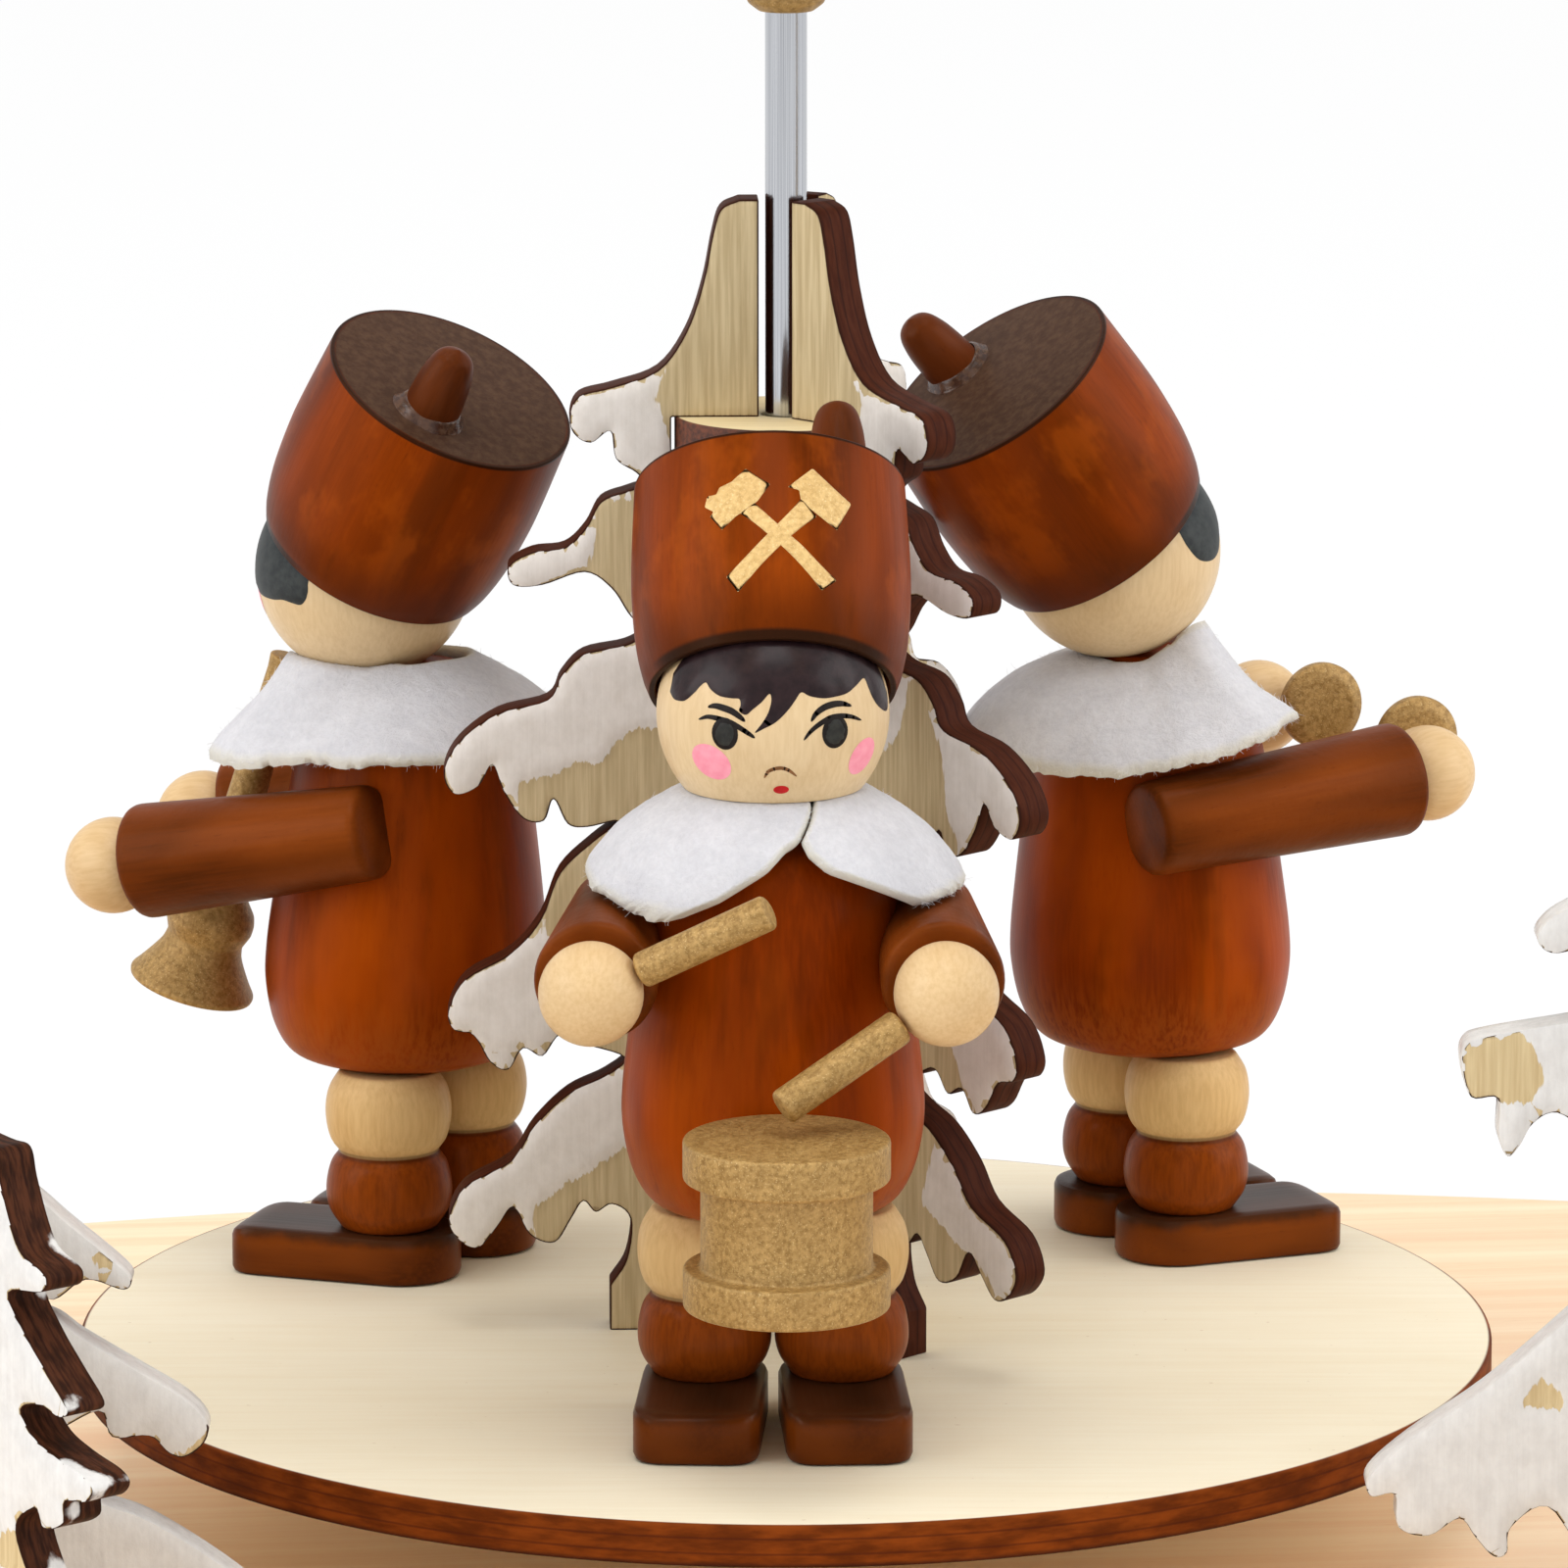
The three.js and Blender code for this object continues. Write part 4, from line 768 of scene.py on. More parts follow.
# Right edges of the profiles from the top down, in shares of their reach and height.
SIDE_OUTLINES = {
    "left_long": """0.078,0.991 0.15,0.929 0.269,0.866 0.425,0.831 0.45,0.814 0.419,0.8
        0.325,0.809 0.263,0.78 0.219,0.786 0.225,0.757 0.29,0.709 0.37,0.675 0.425,0.652 0.444,0.632
        0.425,0.614 0.385,0.62 0.356,0.594 0.32,0.6 0.281,0.571 0.3,0.549 0.419,0.523 0.537,0.487
        0.613,0.456 0.703,0.421 0.744,0.401 0.728,0.39 0.65,0.4 0.581,0.38 0.519,0.391 0.45,0.374
        0.572,0.363 0.641,0.341 0.762,0.307 0.856,0.28 0.9,0.256 0.894,0.237 0.853,0.223 0.819,0.227
        0.778,0.244 0.7,0.243 0.672,0.269 0.562,0.246 0.444,0.249 0.55,0.2 0.669,0.177 0.756,0.163
        0.844,0.14 0.95,0.106 1,0.083 0.975,0.063 0.863,0.074 0.762,0.051 0.606,0.066 0.438,0.046
        0.263,0.051 0.263,0""",
    "left_cross": """0.062,0.99 0.119,0.923 0.229,0.871 0.352,0.849 0.381,0.829 0.357,0.811
        0.267,0.817 0.205,0.791 0.295,0.751 0.433,0.731 0.557,0.714 0.581,0.691 0.548,0.674 0.424,0.677
        0.343,0.651 0.305,0.629 0.476,0.611 0.631,0.603 0.688,0.601 0.705,0.574 0.733,0.537 0.762,0.514
        0.81,0.504 0.829,0.496 0.814,0.483 0.724,0.471 0.767,0.437 0.829,0.406 0.881,0.38 0.857,0.369
        0.805,0.374 0.752,0.363 0.786,0.341 0.852,0.329 0.924,0.321 0.948,0.311 0.926,0.297 0.871,0.29
        0.864,0.269 0.81,0.256 0.786,0.273 0.733,0.249 0.76,0.211 0.819,0.171 0.91,0.143 0.99,0.126
        1,0.106 0.948,0.091 0.824,0.1 0.7,0.069 0.524,0.08 0.348,0.049 0.2,0.051 0.2,0""",
    "right": """0.089,0.987 0.156,0.925 0.267,0.885 0.378,0.867 0.4,0.85 0.369,0.84
        0.267,0.845 0.2,0.818 0.169,0.825 0.187,0.795 0.267,0.758 0.378,0.73 0.502,0.713 0.529,0.695
        0.493,0.682 0.391,0.69 0.311,0.662 0.258,0.67 0.236,0.642 0.324,0.6 0.467,0.565 0.636,0.543
        0.658,0.525 0.618,0.512 0.498,0.522 0.391,0.492 0.311,0.5 0.444,0.478 0.6,0.468 0.709,0.451
        0.747,0.44 0.753,0.431 0.724,0.425 0.644,0.432 0.569,0.413 0.467,0.418 0.569,0.395 0.704,0.386
        0.827,0.378 0.858,0.373 0.864,0.362 0.849,0.343 0.809,0.342 0.807,0.32 0.793,0.309 0.776,0.315
        0.756,0.328 0.72,0.334 0.658,0.322 0.578,0.333 0.458,0.308 0.569,0.263 0.696,0.216 0.818,0.175
        0.931,0.145 0.991,0.124 0.989,0.112 0.953,0.113 0.947,0.094 0.902,0.089 0.856,0.099 0.831,0.088
        0.804,0.077 0.784,0.079 0.778,0.094 0.724,0.106 0.658,0.08 0.547,0.095 0.409,0.062 0.222,0.053
        0.222,0""",
}


def side_profile(piece, outline, reach, height, crossing, slot_below, place):
    """One profile of a side tree, with the slot that the other one is pushed into: its half width
    is what a ply as thick as this one needs where it crosses at an angle."""
    half = np.vstack([[[0, height]], outline * (reach, height)])
    angle, play = math.radians(crossing), 0.25
    slot = PLY / 2 / math.sin(angle) + PLY / 2 / math.tan(angle) + play
    middle = height / 2
    edge, base = half[:-1], half[-1]
    foot = [edge[-1], base]
    if slot_below:
        top = np.vstack([(edge * (-1, 1))[::-1], edge[1:]])
        end = middle + play
        runs = [top, foot, [base, (slot, 0)], [(slot, 0), (slot, end)], [(slot, end), (-slot, end)],
                [(-slot, end), (-slot, 0)], [(-slot, 0), (-base[0], 0)],
                [(-base[0], 0), (-edge[-1][0], edge[-1][1])]]
    else:
        first = int(np.argmax(edge[:, 0] > slot))
        share = (slot - edge[first - 1, 0]) / (edge[first, 0] - edge[first - 1, 0])
        shoulder = edge[first - 1] + share * (edge[first] - edge[first - 1])
        arm = np.vstack([[shoulder], edge[first:]])
        mirror = (arm * (-1, 1))[::-1]
        runs = [arm, foot, [base, (-base[0], 0)], [(-base[0], 0), (-edge[-1][0], edge[-1][1])], mirror,
                [(-slot, shoulder[1]), (-slot, middle)], [(-slot, middle), (slot, middle)],
                [(slot, middle), (slot, shoulder[1])]]
    line = joined(*runs, ease=0.2, per=5, closed=True)
    cut_board(piece, line, PLY, place @ turn("x", 90), spacing=1.0, snow=side_snow,
              wall_snow=(0.3, 1.1) if slot_below else (-0.4, 0.2))


# Patches that the brush missed on the side trees: [out, up, radius].
BARE_PATCHES = (
    (27, 74.5, 3.0), (31.5, 53, 2.2), (-36.7, 43.2, 3.3), (-33, 20.5, 1.2), (28.8, 15.5, 1.6),
    (-24, 62, 2.4), (23, 30, 1.5), (-15, 17, 1.6), (36, 9, 2.6))


def side_snow(points, side):
    """Distance inside the snow of a side tree: it covers the branches, and leaves the trunk's
    middle and some rounded patches near the tips bare."""
    x, z = points[:, 0], points[:, 1]
    trunk = 5.5
    wobble = 0.5 * np.sin(z * 0.9 + side) + 0.35 * np.sin(z * 2.3 + x * 0.4)
    inside = np.abs(x) - trunk + wobble
    for at, up, size in BARE_PATCHES:
        bare = np.hypot(x - at * side, (z - up) * 1.2) - size
        inside = np.minimum(inside, bare + 0.3 * np.sin(3 * np.arctan2(z - up, x - at * side)))
    return inside


# Height, place on the board, and each profile's outline, reach and angle.
SIDE_TREES = {
    "left": (70, -72.4, -38.6, ("long", "left_long", 32, -6), ("cross", "left_cross", 40.4, -56)),
    "right": (120, 78.5, -56.5, ("long", "right", 45, -6), ("cross", "right", 30, 50)),
}
for side, (height, x, y, *profiles) in SIDE_TREES.items():
    crossing = abs(profiles[0][3] - profiles[1][3])
    for name, outline, reach, angle in profiles:
        piece = Piece(side + "_tree_" + name + "_ply")
        side_profile(piece, shares(SIDE_OUTLINES[outline], 1, 1), reach, height, crossing, name == "long",
                     shift(x, y, BOARD_TOP) @ turn("z", angle))
        piece.make("stand", "snowy_ply", "glossy_snow_ply", side + "_tree_" + name + "_profile")


# Disc, tube, tree

def make_ring(name, inner, outer, low, high, ease, around, slot, finish, replaces, place=ROTOR):
    """A ring of rectangular section round the tube, its corners eased."""
    section = corners((inner, low), (outer, low), (outer, high), (inner, high), ease=ease, closed=True)
    Piece(name).turned(section, place, around, True).make("carousel", slot, finish, replaces)


make_ring("disc", TUBE_BORE, DISC_RADIUS, DISC_BOTTOM, DISC_TOP, 0.25, 200,
          "cream_ply", "cream_ply", "turning_disc")
make_ring("collar_under_disc", TUBE_BORE, 5.5, 17.8, DISC_BOTTOM, 0.3, 64, "brass", "brass", "disc_collar")
make_ring("steel_tube", TUBE_INNER, TUBE_RADIUS, TUBE_BOTTOM, TUBE_TOP, 0.12, 40,
          "bright_steel", "bright_steel", "rotor_tube")

bearing = corners((0, 178), (1.15, 174.6), (TUBE_RADIUS, 174.6), (TUBE_RADIUS, 180), (0, 180), ease=0.12)
Piece("bearing").turned(bearing, ROTOR, 32).make("carousel", "brass", "brass", "bearing_cup")

# The wing's outer edge from the top down, in shares of the tree's radius and height.
WING_EDGE = """0.136,1 0.188,0.992 0.212,0.97 0.24,0.928 0.288,0.886 0.368,0.853
    0.496,0.839 0.592,0.831 0.62,0.814 0.608,0.798 0.56,0.79 0.504,0.8
    0.488,0.776 0.432,0.764 0.408,0.754
    0.456,0.748 0.532,0.739 0.576,0.716 0.636,0.699 0.728,0.695 0.796,0.683
    0.784,0.666 0.7,0.666 0.58,0.677 0.504,0.663 0.456,0.641 0.416,0.624
    0.464,0.613 0.584,0.605 0.648,0.586 0.688,0.565 0.832,0.553 0.944,0.528
    0.988,0.501 0.956,0.482 0.888,0.489 0.848,0.508 0.816,0.484 0.76,0.46
    0.7,0.458 0.672,0.477 0.632,0.455 0.576,0.452 0.488,0.457
    0.56,0.44 0.656,0.412 0.712,0.371 0.796,0.341 0.928,0.318 0.98,0.289
    0.964,0.272 0.908,0.267 0.86,0.243 0.808,0.236 0.764,0.255 0.708,0.248
    0.656,0.267 0.584,0.258 0.472,0.246
    0.528,0.23 0.636,0.214 0.732,0.186 0.804,0.154 0.936,0.131 0.984,0.102
    0.952,0.082 0.896,0.076 0.84,0.096 0.796,0.112 0.748,0.087 0.676,0.08
    0.628,0.101 0.592,0.117 0.556,0.107 0.508,0.114
    0.456,0.101 0.468,0.065 0.516,0.041 0.516,0"""


# Snow on the middle tree's two sorts of face, as polygons of [out from the tube, up]: past the
# branches' outlines it goes to their edges, and inwards it ends in a brushed border.
WING_SNOW = {
    "long_strokes": (
        [(27, 72), (10.2, 72), (9.5, 68.8), (8.9, 67.7), (8.3, 66.7), (8.1, 65.5), (8, 62), (27, 62)],
        [(27, 61), (14.6, 61), (14.5, 56), (14.9, 51.8), (27, 51.8)],
        [(27, 52.3), (4, 52.3), (4, 46.8), (7.5, 45.6), (9.3, 44.8), (11.1, 44.6), (12.4, 43.5),
         (13.3, 42.4), (15.4, 42.1), (16.7, 41.5), (18, 41.2), (19.4, 40.3), (19.8, 36), (27, 36)],
        [(27, 34.5), (18.6, 34.5), (17.5, 30.7), (18.1, 29.9), (17, 29.5), (15.5, 27), (15, 22.6),
         (17, 21.6), (18.4, 20.9), (19.6, 21.2), (21.8, 20.8), (23, 20.2), (27, 20)],
        [(27, 19.8), (8.5, 19.8), (9.2, 15.5), (12.1, 13.5), (13.5, 12.6), (14.7, 11.8), (15.9, 11.2),
         (16.9, 10.4), (17.9, 9.6), (18.5, 8.6), (19, 5), (27, 5)]),
    "short_strokes": (
        [(27, 72), (9.5, 72), (9.2, 69.3), (8.8, 67.9), (9.2, 66.7), (9, 62), (27, 62)],
        [(27, 61), (9, 61), (9, 51.8), (27, 51.8)],
        [(14, 52.3), (13.8, 49.1), (13.4, 47.5), (11.8, 44.9), (9, 44), (5, 46), (5, 52.3)],
        [(27, 50.5), (15.8, 50.5), (17, 45.4), (17.3, 43), (17.5, 41.1), (18.2, 39.9), (18.8, 38.5),
         (19, 36), (27, 36)],
        [(27, 34.5), (13.5, 34.5), (15, 27), (17.5, 24.5), (18.6, 23.3), (19.2, 20.9), (20.5, 20.5),
         (22.4, 20.6), (27, 20)],
        [(27, 19.8), (16.8, 19.8), (16.5, 17.1), (15.7, 13.7), (15.4, 12.2), (17.6, 10.6), (19.8, 9.2),
         (22.2, 7.4), (23, 5), (27, 5)]),
}


def wing_snow(points, side):
    """Distance inside the nearest patch of snow, from one set of patches on each face."""
    best = np.full(len(points), -9.0)
    for patch in WING_SNOW["long_strokes" if side < 0 else "short_strokes"]:
        far, within = distances(points, smooth(patch, 4, closed=True))
        best = np.maximum(best, np.where(within, far, -far))
    return best


def make_wing(side, azimuth):
    """A wing of the middle tree: its branches outside, straight against the tube inside, with the
    notch that the small round plate sits in."""
    outer = shares(WING_EDGE, TREE_RADIUS, TREE_HEIGHT)
    back, notch, low = TUBE_RADIUS + 0.5, PLATE_RADIUS + 0.25, PLATE_TOP - PLY
    line = joined(
        outer[:-1], [outer[-2], outer[-1]], [outer[-1], (back, 0)], [(back, 0), (back, low)],
        [(back, low), (notch, low)],
        [(notch, low), (notch, PLATE_TOP)], [(notch, PLATE_TOP), (back, PLATE_TOP)],
        [(back, PLATE_TOP), (back, TREE_HEIGHT)], [(back, TREE_HEIGHT), outer[0]],
        ease=0.12, per=5, closed=True)
    piece = Piece("tree_" + side + "_ply")
    cut_board(piece, line, PLY, ROTOR @ shift(0, 0, DISC_TOP) @ turn("z", azimuth) @ turn("x", 90),
              spacing=0.6, snow=wing_snow)
    piece.make("carousel", "snowy_ply", "snowy_ply", "tree_wing_" + side)


for side, azimuth in (("left", 182), ("right", 315), ("back", 61)):
    make_wing(side, azimuth)

make_ring("small_plate", TUBE_BORE, PLATE_RADIUS, -PLY / 2, PLY / 2, 0.12, 80, "cream_ply", "plate_ply",
          "tree_plate", ROTOR @ shift(0, 0, DISC_TOP + PLATE_TOP - PLY / 2))


# Hub, rosette, blades

def make_hub():
    """The turned hub on its neck, bored for the tube."""
    at = lambda *points: [(r * HUB_RADIUS, HUB_BOTTOM + z * HUB_HEIGHT) for r, z in points]
    up = lambda r, z: (r, HUB_BOTTOM + z)
    bore, neck, deep = TUBE_BORE, 2.8, 60
    line = joined(
        [up(0, deep), up(bore, deep)], [up(bore, deep), up(bore, 0)], [up(bore, 0), up(neck, 0.75)],
        [up(neck, 0.75), up(neck, 5.4)], [up(neck, 5.4), *at((0.47, 0.075))],
        at((0.47, 0.075), (0.5, 0.084), (0.46, 0.098), (0.36, 0.115), (0.3, 0.16), (0.42, 0.24),
           (0.58, 0.33)),
        at((0.58, 0.33), (0.565, 0.36), (0.54, 0.38)), at((0.54, 0.38), (0.34, 0.44)),
        at((0.34, 0.44), (0.335, 0.48), (0.34, 0.52)), at((0.34, 0.52), (0.62, 0.575)),
        at((0.62, 0.575), (0.93, 0.6)), at((0.93, 0.6), (1, 0.63)), at((1, 0.63), (1, 0.81)),
        at((1, 0.81), (0.9, 0.85)),
        at((0.9, 0.85), (0.7, 0.872), (0.5, 0.885)), at((0.5, 0.885), (0.24, 0.905)),
        at((0.24, 0.905), (0.24, 0.92)),
        at((0.24, 0.92), (0.36, 0.932), (0.41, 0.955), (0.34, 0.985), (0.2, 0.997), (0, 1)), ease=0.3)
    Piece("hub").turned(line, ROTOR, 80).make("carousel", "gold_paint", "gold_paint", "impeller_hub")


def make_rosette():
    """A ten-pointed star with eased points round the hub's neck: its wall, both faces as rows from
    the outline to the bore, and the bore."""
    half, inset = PLY / 2, 0.15
    a = np.radians(np.arange(20) * 18.0)
    r = np.where(np.arange(20) % 2 == 0, 11.6, 7.4)
    line = corners(*np.stack([r * np.cos(a), r * np.sin(a)], 1), ease=0.5, closed=True)
    normal = outward(line)
    around = np.arctan2(line[:, 1], line[:, 0])
    ring = 3.05 * np.stack([np.cos(around), np.sin(around)], 1)
    level = lambda flat, z: np.column_stack([flat, np.full(len(line), z)])
    section = ((inset, half), (0.05, half - 0.05), (0, half - 0.15), (0, 0.15 - half), (0.05, 0.05 - half),
               (inset, -half))
    place = ROTOR @ shift(0, 0, HUB_BOTTOM + 2.2 + half)
    piece = Piece("rosette")
    piece.grid(np.array([level(line - normal * d, z) for d, z in section]), place, (False, True))
    for z in (half, -half):
        rows = [level((line - normal * inset) * (1 - s) + ring * s, z) for s in np.linspace(0, 1, 6)]
        piece.grid(np.array(rows), place, (False, True))
    piece.grid(np.array([level(ring, z) for z in (half, -half)]), place, (False, True))
    piece.make("carousel", "gold_paint", "gold_paint", "hub_rosette", sharp=30)


def make_blade(number):
    """A thin blade that widens outwards, eased at its corners, on its dowel."""
    spoke = 360 / BLADE_COUNT * (number - 1)
    place = ROTOR @ shift(0, 0, HUB_AXIS) @ turn("z", spoke) @ turn("x", BLADE_PITCH)
    (root, narrow), (tip, wide) = BLADE_ROOT, BLADE_TIP
    outline = corners((root, narrow), (root, -narrow), (tip, -wide), (tip, wide), ease=3.4, closed=True)
    piece = Piece("blade_%d" % number)
    cut_board(piece, outline, 1.5, place, spacing=6.0, ease=0.3)
    dowel = corners((0, 4.9), (2, 4.9), (2, 27), (0, 27), ease=0.35)
    piece.turned(dowel, place @ turn("y", 90), 32)
    piece.make("blade_%d" % number, "blade_wood", "blade_wood", "impeller_blade_%d" % number)


make_hub()
make_rosette()
for number in range(1, BLADE_COUNT + 1):
    make_blade(number)


# Figures

# Each figure: where it stands (share of the disc's radius, angle) and faces, its head's place in
# shares of the head's radius, how its hat tilts back and leans, how its toes turn, how far its feet
# and its seat are forward in shares of the body's radius, its hat peg (forward, left, height, lean
# back), and where its sleeves start and its fists are, in shares of the body's radius and the neck.
FIGURES = {
    "drummer": dict(
        stand=(0.503, 268), facing=270, head=(0, 0.636), tilt=35.4, lean=-1, toes=3, feet=(0, 0), sway=0,
        peg=(0, 0.495, 1.17, 0),
        left=((-0.57, 1.01, 0.772), (1.238, 1.124, 0.741)),
        right=((-0.57, -1.01, 0.772), (1.238, -1.176, 0.741))),
    "horn_player": dict(
        stand=(0.65, 145.7), facing=162, head=(0.468, 0.848), tilt=28.8, lean=13.5, toes=0,
        feet=(0.05, -0.19), sway=0.1, peg=(0, 0.495, 1, 0),
        left=((-0.095, 1.029, 0.768), (1.962, 0.857, 0.673)),
        right=((-0.095, -1.029, 0.768), (1.962, -0.857, 0.673))),
    "cymbal_player": dict(
        stand=(0.703, 41.9), facing=21, head=(-0.345, 0.96), tilt=37, lean=-6.8, toes=0, feet=(0.06, 0.15),
        sway=0.07, peg=(-0.09, 0.56, 1, 8),
        left=((-0.476, 1.01, 0.75), (1.228, 0.762, 0.851)),
        right=((-0.429, -1.01, 0.75), (1.9, -0.695, 0.791))),
}


def on_figure(place_shares):
    """A place on a figure from shares of its body's radius and its neck's height."""
    forward, left, up = place_shares
    return np.array([forward * BODY, left * BODY, up * NECK])


def place_of(name):
    """Where a figure's own frame is: +X the way it faces, +Y its left, Z up from its sole."""
    share, azimuth = FIGURES[name]["stand"]
    a, r = math.radians(azimuth), share * DISC_RADIUS
    return ROTOR @ shift(r * math.cos(a), r * math.sin(a), DISC_TOP) @ turn("z", FIGURES[name]["facing"])


def head_place(name):
    """The middle of the head's ball, unturned."""
    forward, above = (share * HEAD for share in FIGURES[name]["head"])
    return place_of(name) @ shift(forward, 0, NECK + above)


def hat_place(name):
    """The hat's frame: the head's middle, with +Z up along the tilted barrel."""
    return head_place(name) @ turn("x", -FIGURES[name]["lean"]) @ turn("y", -FIGURES[name]["tilt"])


BODY_LINE = shares(
    "0.62,0 0.82,0.03 0.94,0.1 1,0.2 1,0.29 0.96,0.42 0.9,0.58 0.83,0.75 0.75,0.85 0.6,0.9 0.34,0.935",
    BODY, BODY_TALL)
LEG_LOW = shares("0.76,0 0.95,0.12 1,0.25 0.93,0.4 0.78,0.49", LEG_RADIUS, LEG_TALL)
LEG_HIGH = shares("0.78,0.49 0.93,0.58 1,0.73 0.95,0.88 0.78,1", LEG_RADIUS, LEG_TALL)
HAT_LINE = shares("0.88,0 0.93,0.09 0.975,0.24 1,0.45 1,0.64 0.975,1", HAT_RADIUS, HAT_TALL) + (0, HAT_LOW)
PEG_LINE = shares("1,0.05 0.98,0.35 0.86,0.68 0.6,0.9 0,1", PEG_RADIUS, 1)


def hat_radius(z):
    """The barrel's radius at a height in the hat's frame."""
    line = smooth(HAT_LINE, 8)
    return np.interp(z, line[:, 1], line[:, 0])


def foot_place(name, side, up):
    """Where a foot stands on its figure: 4.8 mm to its side, forward by its own share, toes turned."""
    figure = FIGURES[name]
    sign, foot = (1, figure["feet"][0]) if side == "left" else (-1, figure["feet"][1])
    return place_of(name) @ shift(foot * BODY, sign * 4.8, up) @ turn("z", sign * figure["toes"])


def make_shoe(name, side):
    """A shoe: round heel, straight sides, and a toe whose upper edge is rounded down over its
    whole width by a quarter oval, height = -drop (1 - sqrt(1 - u u))."""
    half, heel, toe, corner, round_from = 4.4, -1.0, 11.6, 2.4, 2.2
    a = np.radians(np.linspace(90, 270, 25))
    back = np.stack([heel + half * np.cos(a), half * np.sin(a)], 1)
    t = np.linspace(0, 1, 9)[:, None]
    low = ((1 - t)**2 * (toe - corner, -half) + 2 * t * (1 - t) * np.array([toe, -half])
           + t**2 * np.array([toe, -half + corner]))
    straight = np.linspace(heel, toe - corner - 0.2, 24)[1:, None]
    near = np.hstack([straight, 0 * straight - half])
    mirror = lambda line: (line * (1, -1))[::-1]
    outline = np.vstack([back, near, low, mirror(low), mirror(near)])
    piece = Piece(name + "_" + side + "_shoe")
    place = foot_place(name, side, SHOE_TALL / 2)
    cut_board(piece, outline, SHOE_TALL, place, spacing=0.6, ease=0.5)
    for own in piece.own:
        u = np.clip((own[:, 0] - toe + round_from) / round_from, 0, 1)
        drop = 0.7 * (1 - np.sqrt(1 - u * u))
        own[:, 2] = (own[:, 2] + SHOE_TALL / 2) * (SHOE_TALL - drop) / SHOE_TALL - SHOE_TALL / 2
    piece.points = [moved(own, place) for own in piece.own]
    piece.make("carousel", "dark_brown_stain", "shoe_stain", name + "_shoe_" + side)


def make_leg(name, side):
    """Two turned barrels, one on the other."""
    line = joined([[0, 0], LEG_LOW[0]], LEG_LOW, LEG_HIGH, [LEG_HIGH[-1], [0, LEG_TALL]], ease=0.25)
    Piece(name + "_" + side + "_leg").turned(line, foot_place(name, side, SHOE_TALL), 56) \
        .make("carousel", "natural_wood", "leg_wood", name + "_leg_" + side)


def make_arm(name, side):
    """A sleeve that widens to its cuff, and the ball of the fist in it."""
    start, end = (on_figure(p) for p in FIGURES[name][side])
    length = np.linalg.norm(end - start)
    cuff, hidden = length - 2.4, 2.9
    sleeve = corners((0, 0), (SLEEVE[0], 0), (SLEEVE[1], cuff), (2.6, cuff), (0, cuff - 0.4), ease=0.8)
    hand = round_arc(HAND, length, math.degrees(math.asin(-hidden / HAND)), 90, 20)
    hand = np.vstack([[[0, length - hidden]], hand])
    hand[-1, 0] = 0
    place = place_of(name) @ aim(start, end)
    Piece(name + "_" + side + "_arm").turned(sleeve, place, 56).turned(hand, place, 56, finish=1) \
        .make("carousel", "brown_stain", "sleeve_stain hand_wood", name + "_arm_" + side)


def make_body(name):
    """The turned trunk, slanted evenly so that its seat is forward of its neck:
    x + forward (1 - z / height)."""
    forward, neck = FIGURES[name]["sway"] * BODY, [0.34 * BODY, BODY_TALL]
    slant = shift(forward, 0, SHOE_TALL + LEG_TALL)
    slant[0, 2] = -forward / BODY_TALL
    line = joined([[0, 0], BODY_LINE[0]], BODY_LINE, [BODY_LINE[-1], neck], [neck, [0, BODY_TALL]], ease=0.3)
    Piece(name + "_trunk").turned(line, place_of(name) @ slant, 96) \
        .make("carousel", "brown_stain", "brown_stain", name + "_body")


def make_head(name):
    """A ball cut flat where it sits on the neck."""
    above = FIGURES[name]["head"][1] * HEAD
    ball = round_arc(HEAD, 0, math.degrees(math.asin(-above / HEAD)), 90, 48)
    ball[-1, 0] = 0
    line = np.vstack([[[0, -above]], ball])
    Piece(name + "_ball_head").turned(line, head_place(name), 96) \
        .make("carousel", "natural_wood", "head_wood", name + "_head")


def make_hat(name):
    """The barrel, hollowed from below to fit the head, its tapered peg, and the lumpy bead of glue
    round the peg's foot."""
    hollow = HEAD + 0.25
    recess = round_arc(hollow, 0, 90, math.degrees(math.asin(HAT_LOW / hollow)), 30)
    recess[0, 0] = 0
    top = [0, HAT_LOW + HAT_TALL]
    line = joined(recess, [recess[-1], HAT_LINE[0]], HAT_LINE, [HAT_LINE[-1], top], ease=0.12, per=10)
    place = hat_place(name)
    Piece(name + "_tall_hat").turned(line, place, 112) \
        .make("carousel", "brown_stain", "hat_stain", name + "_hat")
    ahead, aside, tall, back = FIGURES[name]["peg"]
    sunk = 0.5
    peg_line = PEG_LINE * (1, tall * PEG_TALL + sunk)
    peg = joined([[0, 0], [PEG_RADIUS, 0]], [[PEG_RADIUS, 0], peg_line[0]], peg_line, ease=0.1)
    foot = place @ shift(ahead * HAT_RADIUS, aside * HAT_RADIUS, HAT_LOW + HAT_TALL - sunk)
    Piece(name + "_hat_peg").turned(peg, foot @ turn("y", -back), 48) \
        .make("carousel", "brown_stain", "peg_stain")
    bead = joined([[1.9, 0.3], [2.62, 0.42], [2.56, 0.58], [2.4, 0.8], [2.2, 1.1], [2.0, 1.25]], per=4)
    a = np.linspace(0, 2 * math.pi, 60, endpoint=False)
    lump = 1 + 0.16 * np.sin(2 * a + ahead + 1) + 0.12 * np.sin(3 * a + 2 * aside) + 0.05 * np.sin(7 * a)
    r = 1.9 + (bead[:, :1] - 1.9) * lump
    ring = np.stack([r * np.cos(a), r * np.sin(a), bead[:, 1:] * (0.8 + 0.25 * lump)], -1)
    Piece(name + "_peg_glue").grid(ring, foot, (True, True)).make("carousel", "brown_stain", "clear_glue")


